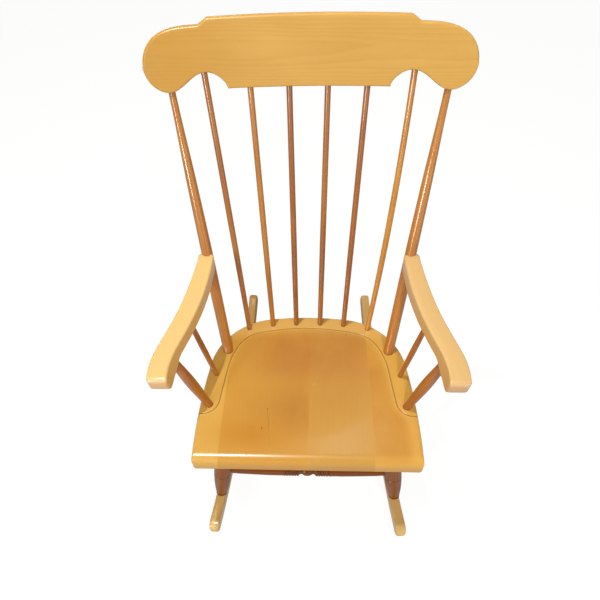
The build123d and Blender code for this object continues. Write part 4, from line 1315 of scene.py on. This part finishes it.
def floor_paint():
    """White to the eye with a faint shadow, and a middle grey to the light that it sends back up."""
    material, n = new_paint("floor_paint")
    glow = n.feed(n.add("Emission"), Color=(1.0, 1.0, 1.0, 1.0), Strength=0.92)
    matt = n.feed(n.add("BsdfDiffuse"), Color=(0.14, 0.14, 0.14, 1.0))
    grey = n.feed(n.add("BsdfDiffuse"), Color=(0.32, 0.31, 0.3, 1.0))
    white = n.add("AddShader")
    n.join(glow.outputs[0], white.inputs[0])
    n.join(matt.outputs[0], white.inputs[1])
    n.show_either(is_seen(n, in_gloss=0.45), grey, white, "OutputMaterial")
    return material


def studio_air():
    """A white surround with a darker ceiling, and a soft even fill for the light that falls on the chair."""
    world = bpy.data.worlds.new("studio")
    bpy.context.scene.world = world
    world.use_nodes = True
    n = Nodes(world.node_tree)
    world.node_tree.nodes.clear()
    fill = n.feed(n.add("Background"), Color=(1.0, 0.95, 0.89, 1.0), Strength=0.25)
    way = n.feed(n.add("SeparateXYZ"), Vector=n.add("TexCoord").outputs["Generated"])
    overhead = n.band(way.outputs["Z"], 0.3, 0.7, 0.6, 0.05)
    to_camera = n.add("LightPath").outputs["Is Camera Ray"]
    walls = n.feed(n.add("Background"), Strength=n.maths("MAXIMUM", to_camera, overhead))
    n.show_either(is_seen(n), fill, walls, "OutputWorld")


def add_lamp(name, place, aim, width, level, colour=(1.0, 1.0, 1.0), matt=True, gloss=True):
    """A round lamp. Its power follows from the level of light that it gives at its aim, where 1 makes
    white paint that faces it look white: the level times pi squared times the distance squared. It may
    light matt surfaces, show in gloss, or both."""
    place, aim = Vector(place), Vector(aim)
    data = bpy.data.lights.new(name, "AREA")
    data.shape = "DISK"
    data.size = width
    data.energy = level * math.pi**2 * (place - aim).length_squared
    data.color = colour
    lamp = bpy.data.objects.new(name, data)
    bpy.context.scene.collection.objects.link(lamp)
    lamp.location = place
    lamp.rotation_euler = (aim - place).to_track_quat("-Z", "Y").to_euler()
    lamp.visible_diffuse = matt
    lamp.visible_glossy = gloss


def add_studio():
    """White floor and surround. Two small lamps overhead, one to the rear left and one to the front
    right, light the chair and leave no gloss; a soft window on the front left and a weak bounce on the
    right fill in. Two lamps show in gloss alone: one draws the light line along the seat's front, one a
    soft pool on the seat."""
    mesh = bpy.data.meshes.new("floor")
    half = 6.0
    mesh.from_pydata(
        [(-half, -half, 0), (half, -half, 0), (half, half, 0), (-half, half, 0)], [], [(0, 1, 2, 3)]
    )
    floor = bpy.data.objects.new("floor", mesh)
    bpy.context.scene.collection.objects.link(floor)
    mesh.materials.append(floor_paint())
    studio_air()
    seat_middle = (0.0, -0.1, 0.4)
    chair_middle = (0.0, 0.1, 0.7)
    add_lamp("rear_key", (-0.38, 0.5, 3.05), seat_middle, 0.06, 0.41, (1.0, 0.98, 0.95), gloss=False)
    add_lamp("front_key", (0.45, -1.35, 2.6), seat_middle, 0.3, 0.31, (1.0, 0.97, 0.92), gloss=False)
    add_lamp("window", (-1.6, -2.4, 1.45), chair_middle, 0.6, 0.34, (1.0, 0.98, 0.95))
    add_lamp("bounce", (1.8, -1.9, 1.2), chair_middle, 1.4, 0.07, (1.0, 0.94, 0.86))
    add_lamp("front_line", (-0.67, -0.5, 3.05), seat_middle, 0.08, 0.62, matt=False)
    add_lamp("rear_pool", (0.25, 1.0, 2.7), seat_middle, 0.3, 0.02, matt=False)


def add_camera():
    """Camera above and in front of the chair, looking steeply down."""
    yaw, pitch, roll = (math.radians(a) for a in (3.817, 53.588, -2.736))
    forward = Vector((-math.sin(yaw) * math.cos(pitch), math.cos(yaw) * math.cos(pitch), -math.sin(pitch)))
    level = Vector((math.cos(yaw), math.sin(yaw), 0.0))
    rise = level.cross(forward)
    right = math.cos(roll) * level + math.sin(roll) * rise
    up = -math.sin(roll) * level + math.cos(roll) * rise
    data = bpy.data.cameras.new("camera")
    camera = bpy.data.objects.new("camera", data)
    bpy.context.scene.collection.objects.link(camera)
    matrix = Matrix((right, up, -forward)).transposed().to_4x4()
    matrix.translation = Vector((7.21, -703.04, 1486.0)) * MM
    camera.matrix_world = matrix
    picture, focal = 600.0, 494.27
    centre = (291.30, 315.22)
    data.sensor_fit = "HORIZONTAL"
    data.sensor_width = 36.0
    data.lens = focal * data.sensor_width / picture
    data.shift_x = (picture / 2 - centre[0]) / picture
    data.shift_y = (centre[1] - picture / 2) / picture
    data.clip_start, data.clip_end = 0.05, 60.0
    bpy.context.scene.camera = camera


add_back()
add_arm_supports()
add_legs()
add_stretchers()
add_crest()
add_arms()
add_rockers()
add_seat()
finish_hardware()
add_studio()
add_camera()
bpy.context.scene.view_settings.view_transform = "Standard"
